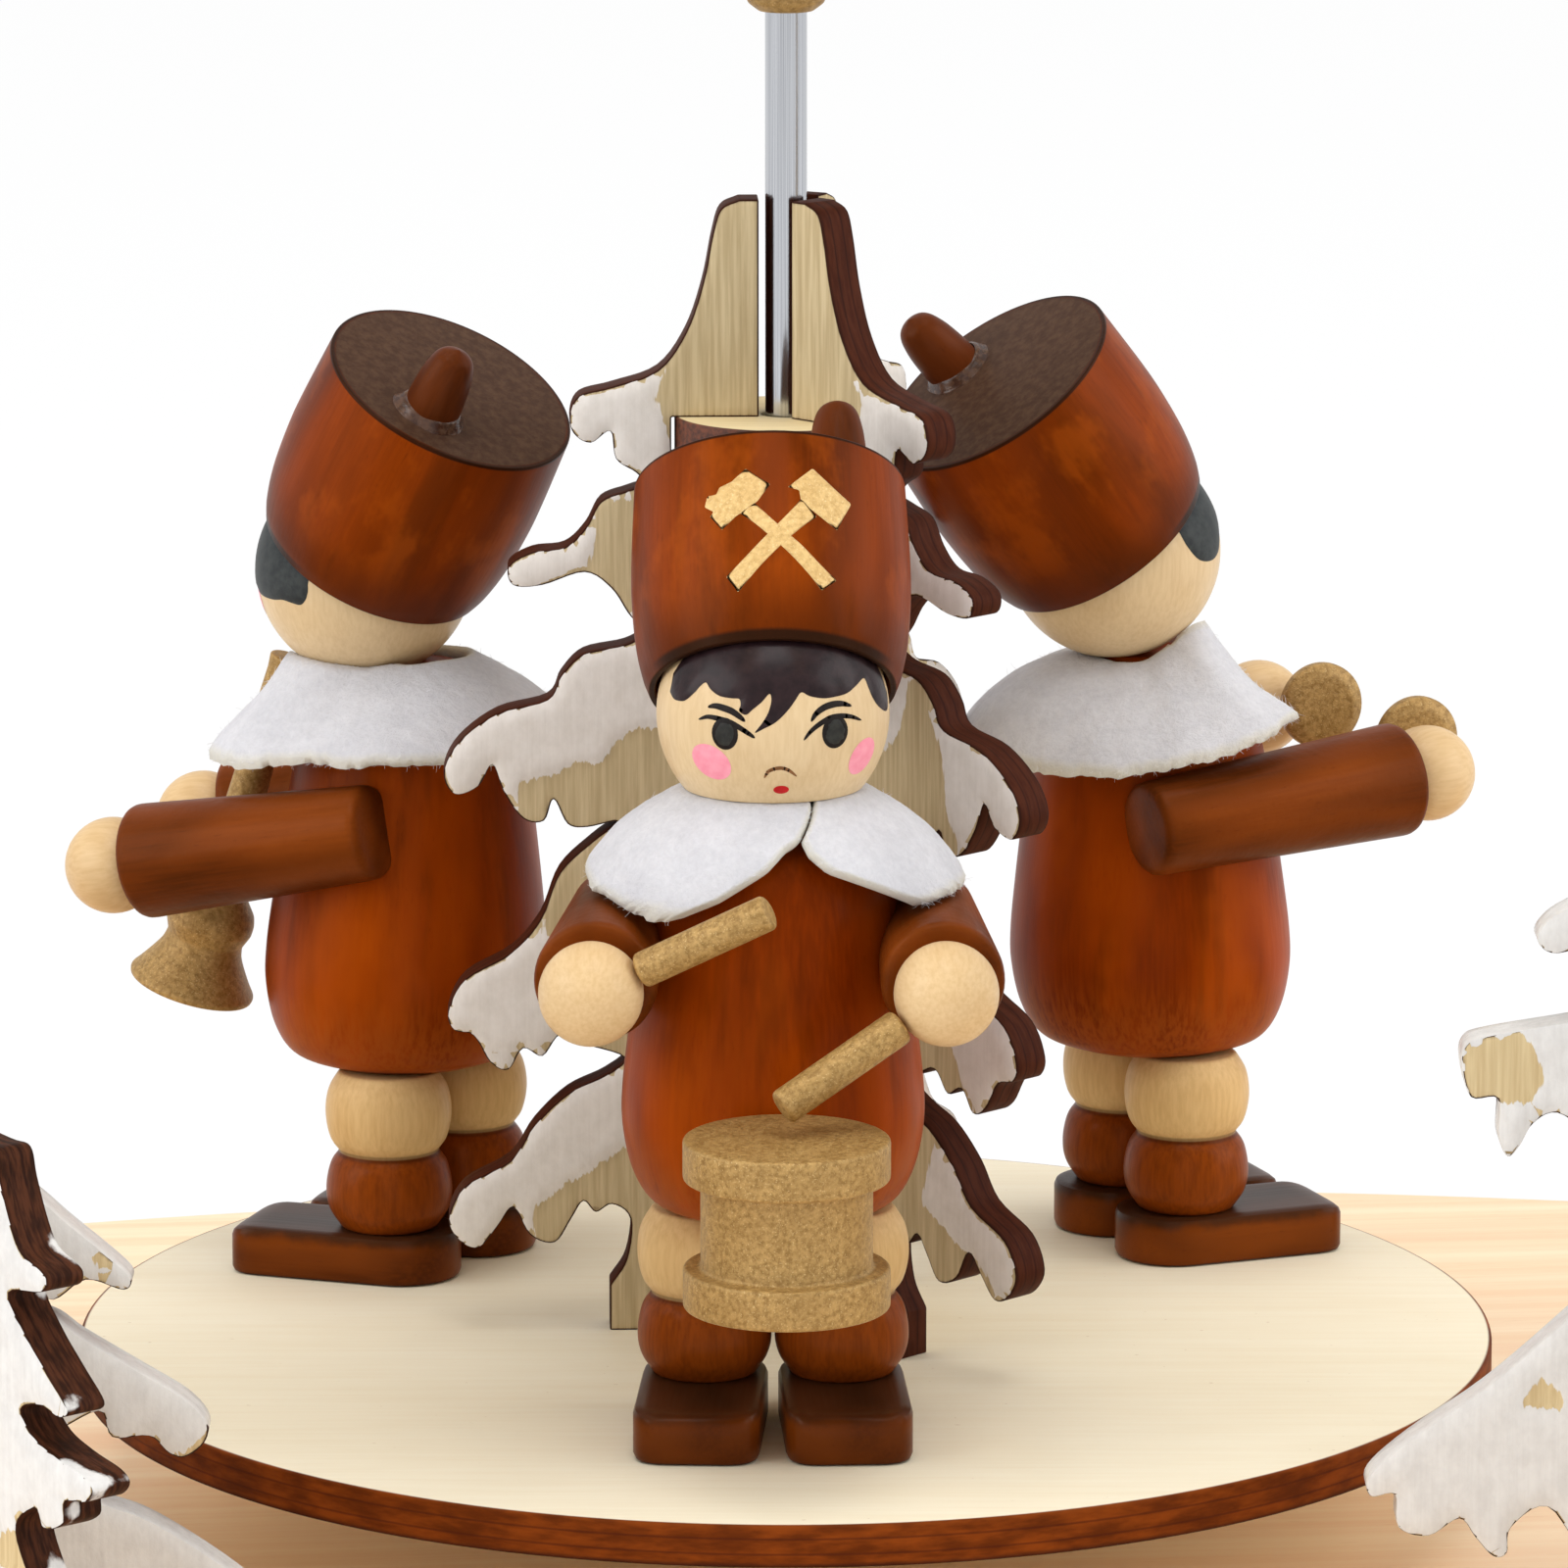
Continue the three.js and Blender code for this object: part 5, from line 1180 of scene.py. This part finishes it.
# Collars, by the angle from the front towards the figure's left: [angle, outer radius, outer
# height, radius where the felt leaves the head, height there, crown]. Then where the front edges
# of the two lobes run: [radius, angle] from the neck to the tip.
COLLARS = {
    "drummer": (
        [(0, 12.3, 38.3, 6.2, 45.05, 0), (45, 12.6, 38.2, 6.2, 45.05, 0), (90, 13.2, 38.6, 6.2, 45.05, 0.2),
         (135, 12.4, 39.2, 6.2, 45.05, 0), (180, 12.2, 39.4, 6.2, 45.05, 0),
         (225, 12.4, 39.3, 6.2, 45.05, 0), (270, 12.9, 39.2, 6.2, 45.05, 0.2),
         (315, 12.7, 38.2, 6.2, 45.05, 0)],
        [(3.95, 37), (6.3, 25.3), (7.4, 19.3), (8.6, 13), (9.4, 14.5), (10.4, 20.5), (11.7, 42.5),
         (12.5, 56)],
        [(3.95, 36), (6.3, 24.7), (7.4, 18.7), (8.6, 12), (9, 6.5), (10.15, -1.2), (11.6, -18),
         (12.6, -36)]),
    "horn_player": (
        [(0, 13.8, 38.8, 8.9, 45.9, -0.9), (22, 15.1, 38.6, 9, 45.9, -1.3),
         (45, 14.2, 38.8, 8.2, 45.8, -0.8), (70, 12.1, 39.9, 6, 45.5, -0.3),
         (100, 12, 40.2, 3.95, 46, 0), (135, 12, 40, 3.95, 46.2, 0), (180, 12.2, 39.4, 3.95, 46.2, 0),
         (225, 12.2, 39.7, 3.95, 46.1, 0), (270, 12, 40.2, 4.5, 45.7, 0), (315, 13.2, 39, 7.6, 45.4, -0.6)],
        [(3.95, 12), (8.5, 15), (11.2, 13), (15, 19)], [(3.95, -11), (8.5, -16), (11.2, -18), (14, -30)]),
    "cymbal_player": (
        [(0, 12.6, 41.4, 3.95, 48.3, -2.4), (45, 12.4, 40.6, 4.2, 47.8, -1.6), (75, 12.5, 40, 4.3, 46.8, 0),
         (90, 12.5, 39.8, 4.1, 46.3, 0), (135, 13.2, 39.5, 3.95, 45.2, 0.6),
         (165, 13.9, 39.4, 3.95, 45.05, 1), (190, 14, 38.9, 3.95, 45.05, 1.1),
         (221, 13, 38.2, 3.95, 45, 0.6), (246, 12.3, 38.4, 3.95, 45.3, 0.2),
         (262, 12.1, 39.1, 4, 46, 0), (274, 12.1, 39.4, 4.1, 46.6, 0), (286, 12.2, 40, 4.3, 47.4, 0),
         (298, 12.3, 40.8, 4.5, 48.1, -1.2), (315, 12.3, 41.5, 4.3, 48.3, -2.4)],
        [(3.95, 44), (5.8, 38), (9.7, 40), (12.4, 44)], [(3.95, -50), (5.8, -41), (9.7, -43), (12.4, -46)]),
}


def head_above(name, x, y):
    """The height of the underside of a figure's head: its flat, and the ball round it."""
    forward, above = (share * HEAD for share in FIGURES[name]["head"])
    off2 = (x - forward)**2 + y**2
    ball = NECK + above - np.sqrt(np.maximum(HEAD**2 - off2, 0))
    return np.where(off2 < HEAD**2, np.maximum(ball, NECK), 99)


def make_collar(name, seed):
    """A felt ring laid on the shoulders and open in front. From where it leaves the head it falls
    by h = start + (outer - start) (0.7 w + 0.3 w^4) + crown 4 w (1 - w), kept under the head and
    lifted over the sleeves by a soft maximum. The felt is 1 mm thick, rounded at its edges, and
    short fibres stand out of its surface and its cut edges."""
    rng = np.random.default_rng(seed)
    figure = FIGURES[name]
    table, first, last = COLLARS[name]
    u = np.linspace(0, 1, 300)[:, None]
    v = np.linspace(0, 1, 40)[None]
    rows = np.array(table, float)
    loop = np.vstack([rows - (360, 0, 0, 0, 0, 0), rows, rows + (360, 0, 0, 0, 0, 0)])
    line = smooth(loop, 12)
    guess = COLLAR_INNER + 8.5 * v
    edge = lambda stops: np.interp(guess, *np.array(stops, float).T)
    angle = np.radians(edge(first) * (1 - u) + (edge(last) + 360) * u)
    at = np.degrees(angle)
    reach, low, start, high, crown = (np.interp(at, line[:, 0], line[:, k]) for k in (1, 2, 3, 4, 5))
    uneven = lambda size, count: np.interp(u, np.linspace(0, 1, count), rng.uniform(-size, size, count))
    ragged = uneven(0.08, 40) + uneven(0.07, 150)
    inner = COLLAR_INNER + (start - COLLAR_INNER) * (high > NECK + 0.9)
    radius = inner + (reach + ragged * v**3 - inner) * v
    x, y = radius * np.cos(angle), radius * np.sin(angle)
    waves = sum(rng.uniform(0.03, 0.09) * np.sin(k * angle + rng.uniform(0, 6.28)) for k in (2, 3, 5, 7))
    w = np.clip((radius - start) / (reach - start), 0, 1.05)
    z = high + (low - high) * (0.7 * w + 0.3 * w**4) + crown * 4 * w * (1 - w) + waves * v**2
    z = np.minimum(z, head_above(name, x, y) - FELT / 2 - 0.02)
    for side in ("left", "right"):
        begin, end = (on_figure(p) for p in figure[side])
        along = end - begin
        flat = along[:2] / (along[:2]**2).sum()
        t = np.clip((x - begin[0]) * flat[0] + (y - begin[1]) * flat[1], -0.2, 1)
        off2 = (x - begin[0] - t * along[0])**2 + (y - begin[1] - t * along[1])**2
        thick = SLEEVE[0] + (SLEEVE[1] - SLEEVE[0]) * t + 0.1
        top = begin[2] + t * along[2] + np.sqrt(np.maximum(thick**2 - off2, 0)) + FELT / 2
        top = np.where(off2 < thick**2, top, 0)
        z = np.log(np.exp((z - 40) * 6) + np.exp((top - 40) * 6)) / 6 + 40
    middle = np.stack([x, y, z], -1)
    du, dv = np.gradient(middle, axis=0), np.gradient(middle, axis=1)
    normal = np.cross(dv, du)
    normal /= np.maximum(np.linalg.norm(normal, axis=2), 1e-9)[..., None]
    normal *= np.where(normal[..., 2:] < 0, -1, 1)
    rim = np.minimum(np.minimum(v, 1 - v) * 9.0, np.minimum(u, 1 - u) * 60.0)
    half = FELT / 2
    thin = half * np.sqrt(np.clip(1 - (1 - np.clip(rim / half, 0, 1))**2, 0, 1))
    fuzz = rng.normal(0, 0.008, thin.shape) + 0.03 * np.sin(x * 2.1 + 2 * np.sin(y * 1.3)) * np.sin(y * 1.7)
    piece = Piece(name + "_felt_collar")
    cut = np.clip(1 - rim / 0.9, 0, 1)
    over = thin + fuzz * (thin > 0.1)
    for rise in (over, -thin):
        piece.grid(middle + normal * rise[..., None], place_of(name), edge=cut)
    made = piece.make("carousel", "white_felt", "white_felt", name + "_collar", sharp=80)
    corner = middle[:-1, :-1]
    cell = np.linalg.norm(np.cross(middle[1:, :-1] - corner, middle[:-1, 1:] - corner), axis=2)
    float(cell.sum()) * 1e-6
    make_fibres(name, rng, middle, normal, dv, du)


def make_fibres(name, rng, middle, normal, outwards, around):
    """Loose wool fibres: thin bent three-sided hairs, most of them along the cut edges."""
    rows, columns = middle.shape[:2]
    count = 800
    i = rng.integers(2, rows - 2, count)
    j = np.where(rng.random(count) < 0.72, columns - 2, rng.integers(3, columns - 1, count))
    front = rng.random(count) < 0.12
    i = np.where(front, np.where(rng.random(count) < 0.5, 1, rows - 2), i)
    j = np.where(front, rng.integers(4, columns - 1, count), j)
    unit = lambda d: d / np.maximum(np.linalg.norm(d, axis=-1), 1e-9)[..., None]
    out, side, up = unit(outwards[i, j]), unit(around[i, j]), normal[i, j]
    at_edge = (j == columns - 2)[:, None]
    lean = rng.normal(0, 1, (count, 3))
    way = np.where(at_edge, out * 0.9 + up * lean[:, :1] * 0.5, up * 0.45 + out * lean[:, :1])
    along = unit(way + side * lean[:, 1:2] * 0.9)
    bend = unit(np.cross(along, up + side * lean[:, 2:]))
    length = rng.uniform(0.25, 0.7, count)[:, None]
    root = middle[i, j] + up * np.where(at_edge, 0.2 * lean[:, 2:], 0.42)
    t = np.linspace(0, 1, 6)[:, None, None]
    curve = root + along * length * t + bend * length * 0.45 * t**2
    a = np.radians([0.0, 120.0, 240.0])[None, :, None, None]
    ring = bend[None, None] * np.cos(a) + np.cross(along, bend)[None, None] * np.sin(a)
    tube = curve[:, None] + ring * (0.02 * (1 - 0.6 * t))[:, None]
    own = tube.transpose(2, 0, 1, 3).reshape(-1, 3)
    k, l = np.meshgrid(np.arange(5), np.arange(3), indexing="ij")
    here, onward = k * 3 + l, k * 3 + (l + 1) % 3
    quad = np.stack([here, onward, onward + 3, here + 3], -1).reshape(-1, 4)
    each = lambda face: (face[None] + 18 * np.arange(count)[:, None, None]).reshape(-1, face.shape[1])
    piece = Piece(name + "_felt_fibres").add(own, each(quad), place_of(name))
    piece.faces.append(each(np.array([[0, 2, 1], [15, 16, 17]])))
    piece.finish.append(np.zeros(2 * count, int))
    piece.make("carousel", "white_felt", "felt_fibre")


def on_head(name, turned=0):
    """A chart of the head: millimetres round and up from the middle of its face."""
    def onto(x, y, lift):
        azimuth, up = x / HEAD + math.radians(turned), y / HEAD
        level = np.cos(up)
        ball = np.stack([level * np.cos(azimuth), level * np.sin(azimuth), np.sin(up)], -1)
        return moved((HEAD + lift)[:, None] * ball, head_place(name))
    return onto


def on_hat(name):
    """A chart of the hat's barrel: millimetres round from its front, and up."""
    def onto(x, y, lift):
        r = hat_radius(y) + lift
        a = x / HAT_RADIUS
        return moved(np.stack([r * np.cos(a), r * np.sin(a), y], -1), hat_place(name))
    return onto


def degrees_on_head(points):
    """Azimuth and elevation in degrees as millimetres of the head's chart."""
    return np.asarray(points, float) * math.pi / 180 * HEAD


# The fringes' lower edges, as degrees round and up from the middle of the head.
DRUMMER_FRINGE = [
    (-65, 15), (-60, 12.5), (-55.9, 12.1), (-49.9, 13.0), (-44.4, 17.5), (-41.0, 21.6), (-38.1, 23.5),
    (-34.2, 20.5), (-28.2, 17.8), (-21.4, 17.2), (-17.3, 17.1), (-16.3, 14.2), (-16.9, 11.3),
    (-13.3, 9.6), (-10.0, 12.3), (-5.6, 16.0), (-1.7, 20.1), (-0.7, 16.8), (-2.2, 11.0), (-5.1, 5.9),
    (-8.7, 1.0), (-4.0, 3.3), (1.9, 6.6), (7.9, 12.4), (11.9, 17.3), (15.0, 20.5), (19.2, 18.4),
    (26.4, 16.8), (33.5, 16.9), (41.5, 17.8), (49.1, 20.6), (57.2, 23.2), (58.7, 18.4), (60.5, 12.8),
    (65.3, 7.5), (74.2, 3.6), (80.0, 5.0), (82, 12)]
HORN_FRINGE = [
    (-78, -3), (-73.6, -10.6), (-69.5, -11), (-66.3, -7), (-64.8, 2), (-62, 11), (-55, 15.5), (-46, 16),
    (-39, 14.5), (-33, 11), (-28, 5.5), (-24.5, 11), (-20, 16), (-10, 17.5), (2, 17), (10, 16),
    (15.5, 10), (18.5, 0), (24, -8.5), (34, -10.6), (50.8, -10.6), (60.4, -9.4), (67.3, -10.1),
    (73.6, -10.6), (77.4, -7.3), (79.1, -3.1)]
CYMBAL_FRINGE = [
    (-79, 24), (-74, 18), (-69, 9), (-60, 1), (-46, -1), (-34, 3), (-27, 12), (-19, 17), (-9, 17.5),
    (3, 17), (13, 15.5), (21, 11), (26.5, 6), (29, 12), (33, 18), (37.5, 18), (44, 13), (54, 9), (66, 10.2),
    (73.2, 14), (74, 20), (79, 24)]


# How far each face is turned on its head, in degrees to the figure's left.
FACE_TURNS = {"drummer": 0, "horn_player": -32, "cymbal_player": 24}


def make_hair(name, fringe, top, finish):
    """The painted fringe: its lower edge as drawn, its upper edge hidden under the hat's rim."""
    outline = np.vstack([smooth(degrees_on_head(fringe), 4), smooth(degrees_on_head(top), 6)])
    painted(Piece(name + "_hair"), outline, on_head(name), spacing=0.45, rise=0.12, soft=0.5) \
        .make("carousel", "dark_brown_stain", finish)


def make_face(name):
    """Cheeks, eyes, lashes, brows, nose and mouth, each a thin patch of paint on the head, given in
    degrees round and up from the middle of the face."""
    onto = on_head(name, FACE_TURNS[name])
    piece = Piece(name + "_face_paint")
    degree = math.pi / 180 * HEAD
    pupil, line, cheek, mouth, nose = range(5)

    def spot(x, y, wide, tall, finish, lean=0.0, **more):
        painted(piece, oval(x * degree, y * degree, wide * degree, tall * degree, lean), onto, finish, **more)

    spot(-33.3, -16, 11.8, 9.2, cheek, -18, rise=0.02, soft=0.6)
    spot(52.5, -15.6, 10.4, 9, cheek, 40, rise=0.02, soft=0.6)
    for x, y, w, h in ((-24.1, -0.4, 7, 8), (32.1, -0.2, 7.4, 8.2)):
        spot(x, y, w, h, line, rise=0.05, spacing=0.3, soft=0.2)
        spot(x, y, w - 1.2, h - 1.2, pupil, rise=0.09, spacing=0.3, soft=0.2)
    for points, width, finish in (
            ([(-39.2, 5.2), (-33.8, 7.1), (-27.8, 6.8), (-21.3, 5.5), (-15.8, 2.9), (-11.3, 0.2),
              (-8.7, -1.6)],
             0.34, line),
            ([(15.2, -3.0), (18.9, 1.3), (23.7, 4.6), (29.6, 7.0), (35.7, 7.3), (42.3, 6.1), (48.9, 3.5)],
             0.34, line),
            ([(-34.2, 11.9), (-30.1, 12.8), (-25.8, 12.3), (-20.8, 11.0), (-16.7, 8.7),
              (-13.6, 6.3)], 0.42, line),
            ([(19.0, 6.0), (22.0, 9.8), (26.7, 12.4), (32.0, 13.4), (37.4, 13.1),
              (43.0, 11.3)], 0.42, line),
            ([(-4.5, -22.7), (-1.9, -18.7), (3.5, -17.1), (8.1, -18.4), (12.7, -22.1)], 0.24, nose)):
        brushed = stroke(degrees_on_head(points), width)
        painted(piece, brushed, onto, finish, rise=0.04, spacing=0.25, soft=0.12)
    spot(4.7, -30, 4.4, 2.6, mouth, rise=0.04, spacing=0.3, soft=0.15)
    piece.make("carousel", "dark_brown_stain", "eye_black line_black cheek_pink mouth_red nose_brown")


for index, name in enumerate(FIGURES):
    for side in ("left", "right"):
        make_shoe(name, side)
        make_leg(name, side)
        make_arm(name, side)
    make_body(name)
    make_head(name)
    make_hat(name)
    make_collar(name, 11 + index)

# The figure, its fringe, the fringe's upper edge, and the paint.
HAIR = (
    ("drummer", DRUMMER_FRINGE,
     [(80, 30), (60, 42), (30, 50), (0, 54), (-30, 50), (-60, 38), (-68, 24)], "hair_brown"),
    ("horn_player", HORN_FRINGE,
     [(80, 6), (73, 17), (60, 26), (46, 33), (30, 40), (0, 46), (-30, 42), (-55, 38), (-72, 28), (-80, 12)],
     "hair_slate"),
    ("cymbal_player", CYMBAL_FRINGE,
     [(78, 24), (74, 30), (60, 40), (45.6, 46), (30, 50), (0, 56), (-28.5, 52), (-43.9, 44), (-58, 40),
      (-72, 34), (-78, 28)], "hair_slate"))
for parts in HAIR:
    make_hair(*parts)
for name in FIGURES:
    make_face(name)


# The hammers' handles and heads: millimetres round and up the drummer's hat, and the paint's rise.
HAMMERS = (
    ([(-1.1, 11.5), (4.8, 6.0), (3.7, 5.1), (-2.0, 10.7)], 0.05),
    ([(2.3, 11.8), (-3.1, 6.1), (-2.3, 4.9), (3.3, 10.5)], 0.06),
    ([(-1.6, 14.1), (0.1, 12.8), (-0.8, 11.5), (-1.6, 10.9), (-2.3, 10.5), (-3.3, 9.6), (-4.2, 10.8),
      (-3.9, 11.1), (-4.6, 11.6), (-4.4, 12.4), (-3.7, 12.4), (-3.5, 12.9), (-2.6, 13.2)], 0.08),
    ([(3.1, 14.2), (6.0, 12.0), (4.8, 9.7), (3.6, 10.5), (2.9, 11.0), (2.2, 11.6), (2.1, 12.4), (1.3, 12.6),
      (2.1, 13.3)], 0.08))


def make_hammers():
    """The crossed hammers gilded on the front of the drummer's hat."""
    piece = Piece("crossed_hammers")
    for outline, rise in HAMMERS:
        line = corners(*outline, ease=0.14, closed=True)
        painted(piece, line, on_hat("drummer"), rise=rise, spacing=0.35, soft=0.12)
    piece.make("carousel", "gold_paint", "hammer_gilt")


make_hammers()


# Instruments

def make_instruments():
    """The drum in front of its player with a stick in each fist, the horn at its player's mouth, and
    a cymbal on the inner side of each fist."""
    drummer = place_of("drummer")
    rim, shell, high = 7.05, 5.85, 11.7
    drum = corners(
        (0, 0), (rim, 0), (rim, 2.8), (shell, 2.8), (shell, 8.9), (rim, 8.9), (rim, high), (0, high),
        ease=0.3)
    Piece("gilt_drum").turned(drum, drummer @ shift(BODY + rim + 0.3, 0.95, 13.2), 80) \
        .make("carousel", "gold_paint", "gold_paint", "drum")
    tips = {"left": on_figure((1.676, 0.057, 0.59)), "right": on_figure((1.486, -0.02, 0.879))}
    for side, tip in tips.items():
        fist = on_figure(FIGURES["drummer"][side][1])
        length = np.linalg.norm(np.subtract(tip, fist))
        near, thick = HAND + 0.25, 1.25
        stick = corners((0, near), (thick, near), (thick, length), (0, length), ease=0.4)
        Piece("gilt_" + side + "_drumstick").turned(stick, drummer @ aim(fist, tip), 32) \
            .make("carousel", "gold_paint", "gold_paint", "drumstick_" + side)
    mouth = on_figure((0.957, 0, 0.998))
    slope = math.radians(17.5)
    at = lambda *points: [(r * 4.8, z * 27.1) for r, z in points]
    horn = joined(
        at((0, 0), (0.27, 0)), at((0.27, 0), (0.25, 0.04)), at((0.25, 0.04), (0.29, 0.35), (0.33, 0.62)),
        at((0.33, 0.62), (0.44, 0.7), (0.66, 0.76)), at((0.66, 0.76), (0.69, 0.785), (0.69, 0.81)),
        at((0.69, 0.81), (0.6, 0.85)), at((0.6, 0.85), (0.66, 0.89), (0.86, 0.95), (1, 0.985)),
        at((1, 0.985), (0.98, 1)), at((0.98, 1), (0, 1)), ease=0.2)
    down = aim(mouth, mouth + (math.sin(slope), 0, -math.cos(slope)))
    Piece("gilt_horn").turned(horn, place_of("horn_player") @ down, 56) \
        .make("carousel", "gold_paint", "gold_paint", "horn")
    flat, wide, thick = 2.4, 3.3, 0.9
    disc = corners(
        (0, -thick), (flat, -thick), (wide, -thick / 2), (wide, thick / 2), (flat, thick), (0, thick),
        ease=0.25)
    for side, inward, forward, up in (("left", -1, 0.92, 0.24), ("right", 1, 0.39, 0.49)):
        fist = on_figure(FIGURES["cymbal_player"][side][1])
        spot = fist + (forward * wide, inward * (HAND + thick + 0.25), up * wide)
        place = place_of("cymbal_player") @ shift(*spot) @ turn("x", 90)
        Piece("gilt_" + side + "_cymbal").turned(disc, place, 56) \
            .make("carousel", "gold_paint", "gold_paint", "cymbal_" + side)


make_instruments()


# Floor, lamps, camera

def make_floor():
    """A pale floor that the camera sees nearly white, and that keeps the object's shadow."""
    mesh = bpy.data.meshes.new("floor")
    a = np.linspace(0, 2 * math.pi, 64, endpoint=False)
    wide, below = 6, -0.0002
    mesh.from_pydata([(wide * math.cos(t), wide * math.sin(t), below) for t in a], [], [list(range(64))])
    floor = bpy.data.objects.new("floor", mesh)
    bpy.context.scene.collection.objects.link(floor)
    material = bpy.data.materials.new("floor_white")
    material.use_nodes = True
    f = Nodes(material.node_tree)
    plain = f.node("ShaderNodeBsdfDiffuse", {}, {"Color": (0.9, 0.9, 0.9, 1)})
    white = f.node("ShaderNodeEmission", {}, {"Strength": 1.0})
    f.shown("ShaderNodeOutputMaterial", plain, white, 0.92)
    mesh.materials.append(material)


def make_light():
    """A soft world that the camera, metal and glass see as a plain pale one, and three square lamps
    that face the object: at its left, at its right and above it, with their places and sizes in
    metres."""
    world = bpy.data.worlds.new("studio")
    bpy.context.scene.world = world
    world.use_nodes = True
    f = Nodes(world.node_tree)
    soft = f.node("ShaderNodeBackground", {}, {"Color": (0.98, 0.99, 1.0, 1), "Strength": 0.72})
    pale = f.node("ShaderNodeBackground", {}, {"Strength": 1.0})
    f.shown("ShaderNodeOutputWorld", soft, pale, 1.0)
    middle = Vector((0, 0, 0.06))
    for name, place, size, watts in (
            ("left", (-0.95, -0.3, 0.5), 0.8, 5.4), ("right", (0.95, -0.25, 0.5), 0.8, 5.0),
            ("top", (0.0, -0.2, 1.15), 0.8, 6.5)):
        lamp = bpy.data.lights.new(name, "AREA")
        lamp.shape, lamp.size, lamp.energy = "SQUARE", size, watts
        holder = bpy.data.objects.new(name, lamp)
        bpy.context.scene.collection.objects.link(holder)
        holder.location = place
        holder.rotation_euler = (middle - Vector(place)).to_track_quat("-Z", "Y").to_euler()


def make_camera():
    """The photograph's camera. Its focal length and shift come from the fit, in the pixels of a
    square picture."""
    pixels, focal, aside, sensor = 1600, 8680, -2, 36.0
    data = bpy.data.cameras.new("camera")
    data.sensor_width, data.lens = sensor, focal / pixels * sensor
    data.shift_x = aside / pixels
    data.clip_start, data.clip_end = 0.05, 20.0
    camera = bpy.data.objects.new("camera", data)
    bpy.context.scene.collection.objects.link(camera)
    camera.location = (-0.0629, -0.5984, 0.1889)
    camera.rotation_euler = (math.radians(90 - 11.7), 0, math.radians(-6))
    bpy.context.scene.camera = camera


make_floor()
make_light()
make_camera()
bpy.context.scene.view_settings.view_transform = "Standard"


def plain(box):
    """A box's two corners as lists of plain numbers."""
    return [[float(n) for n in corner] for corner in box]
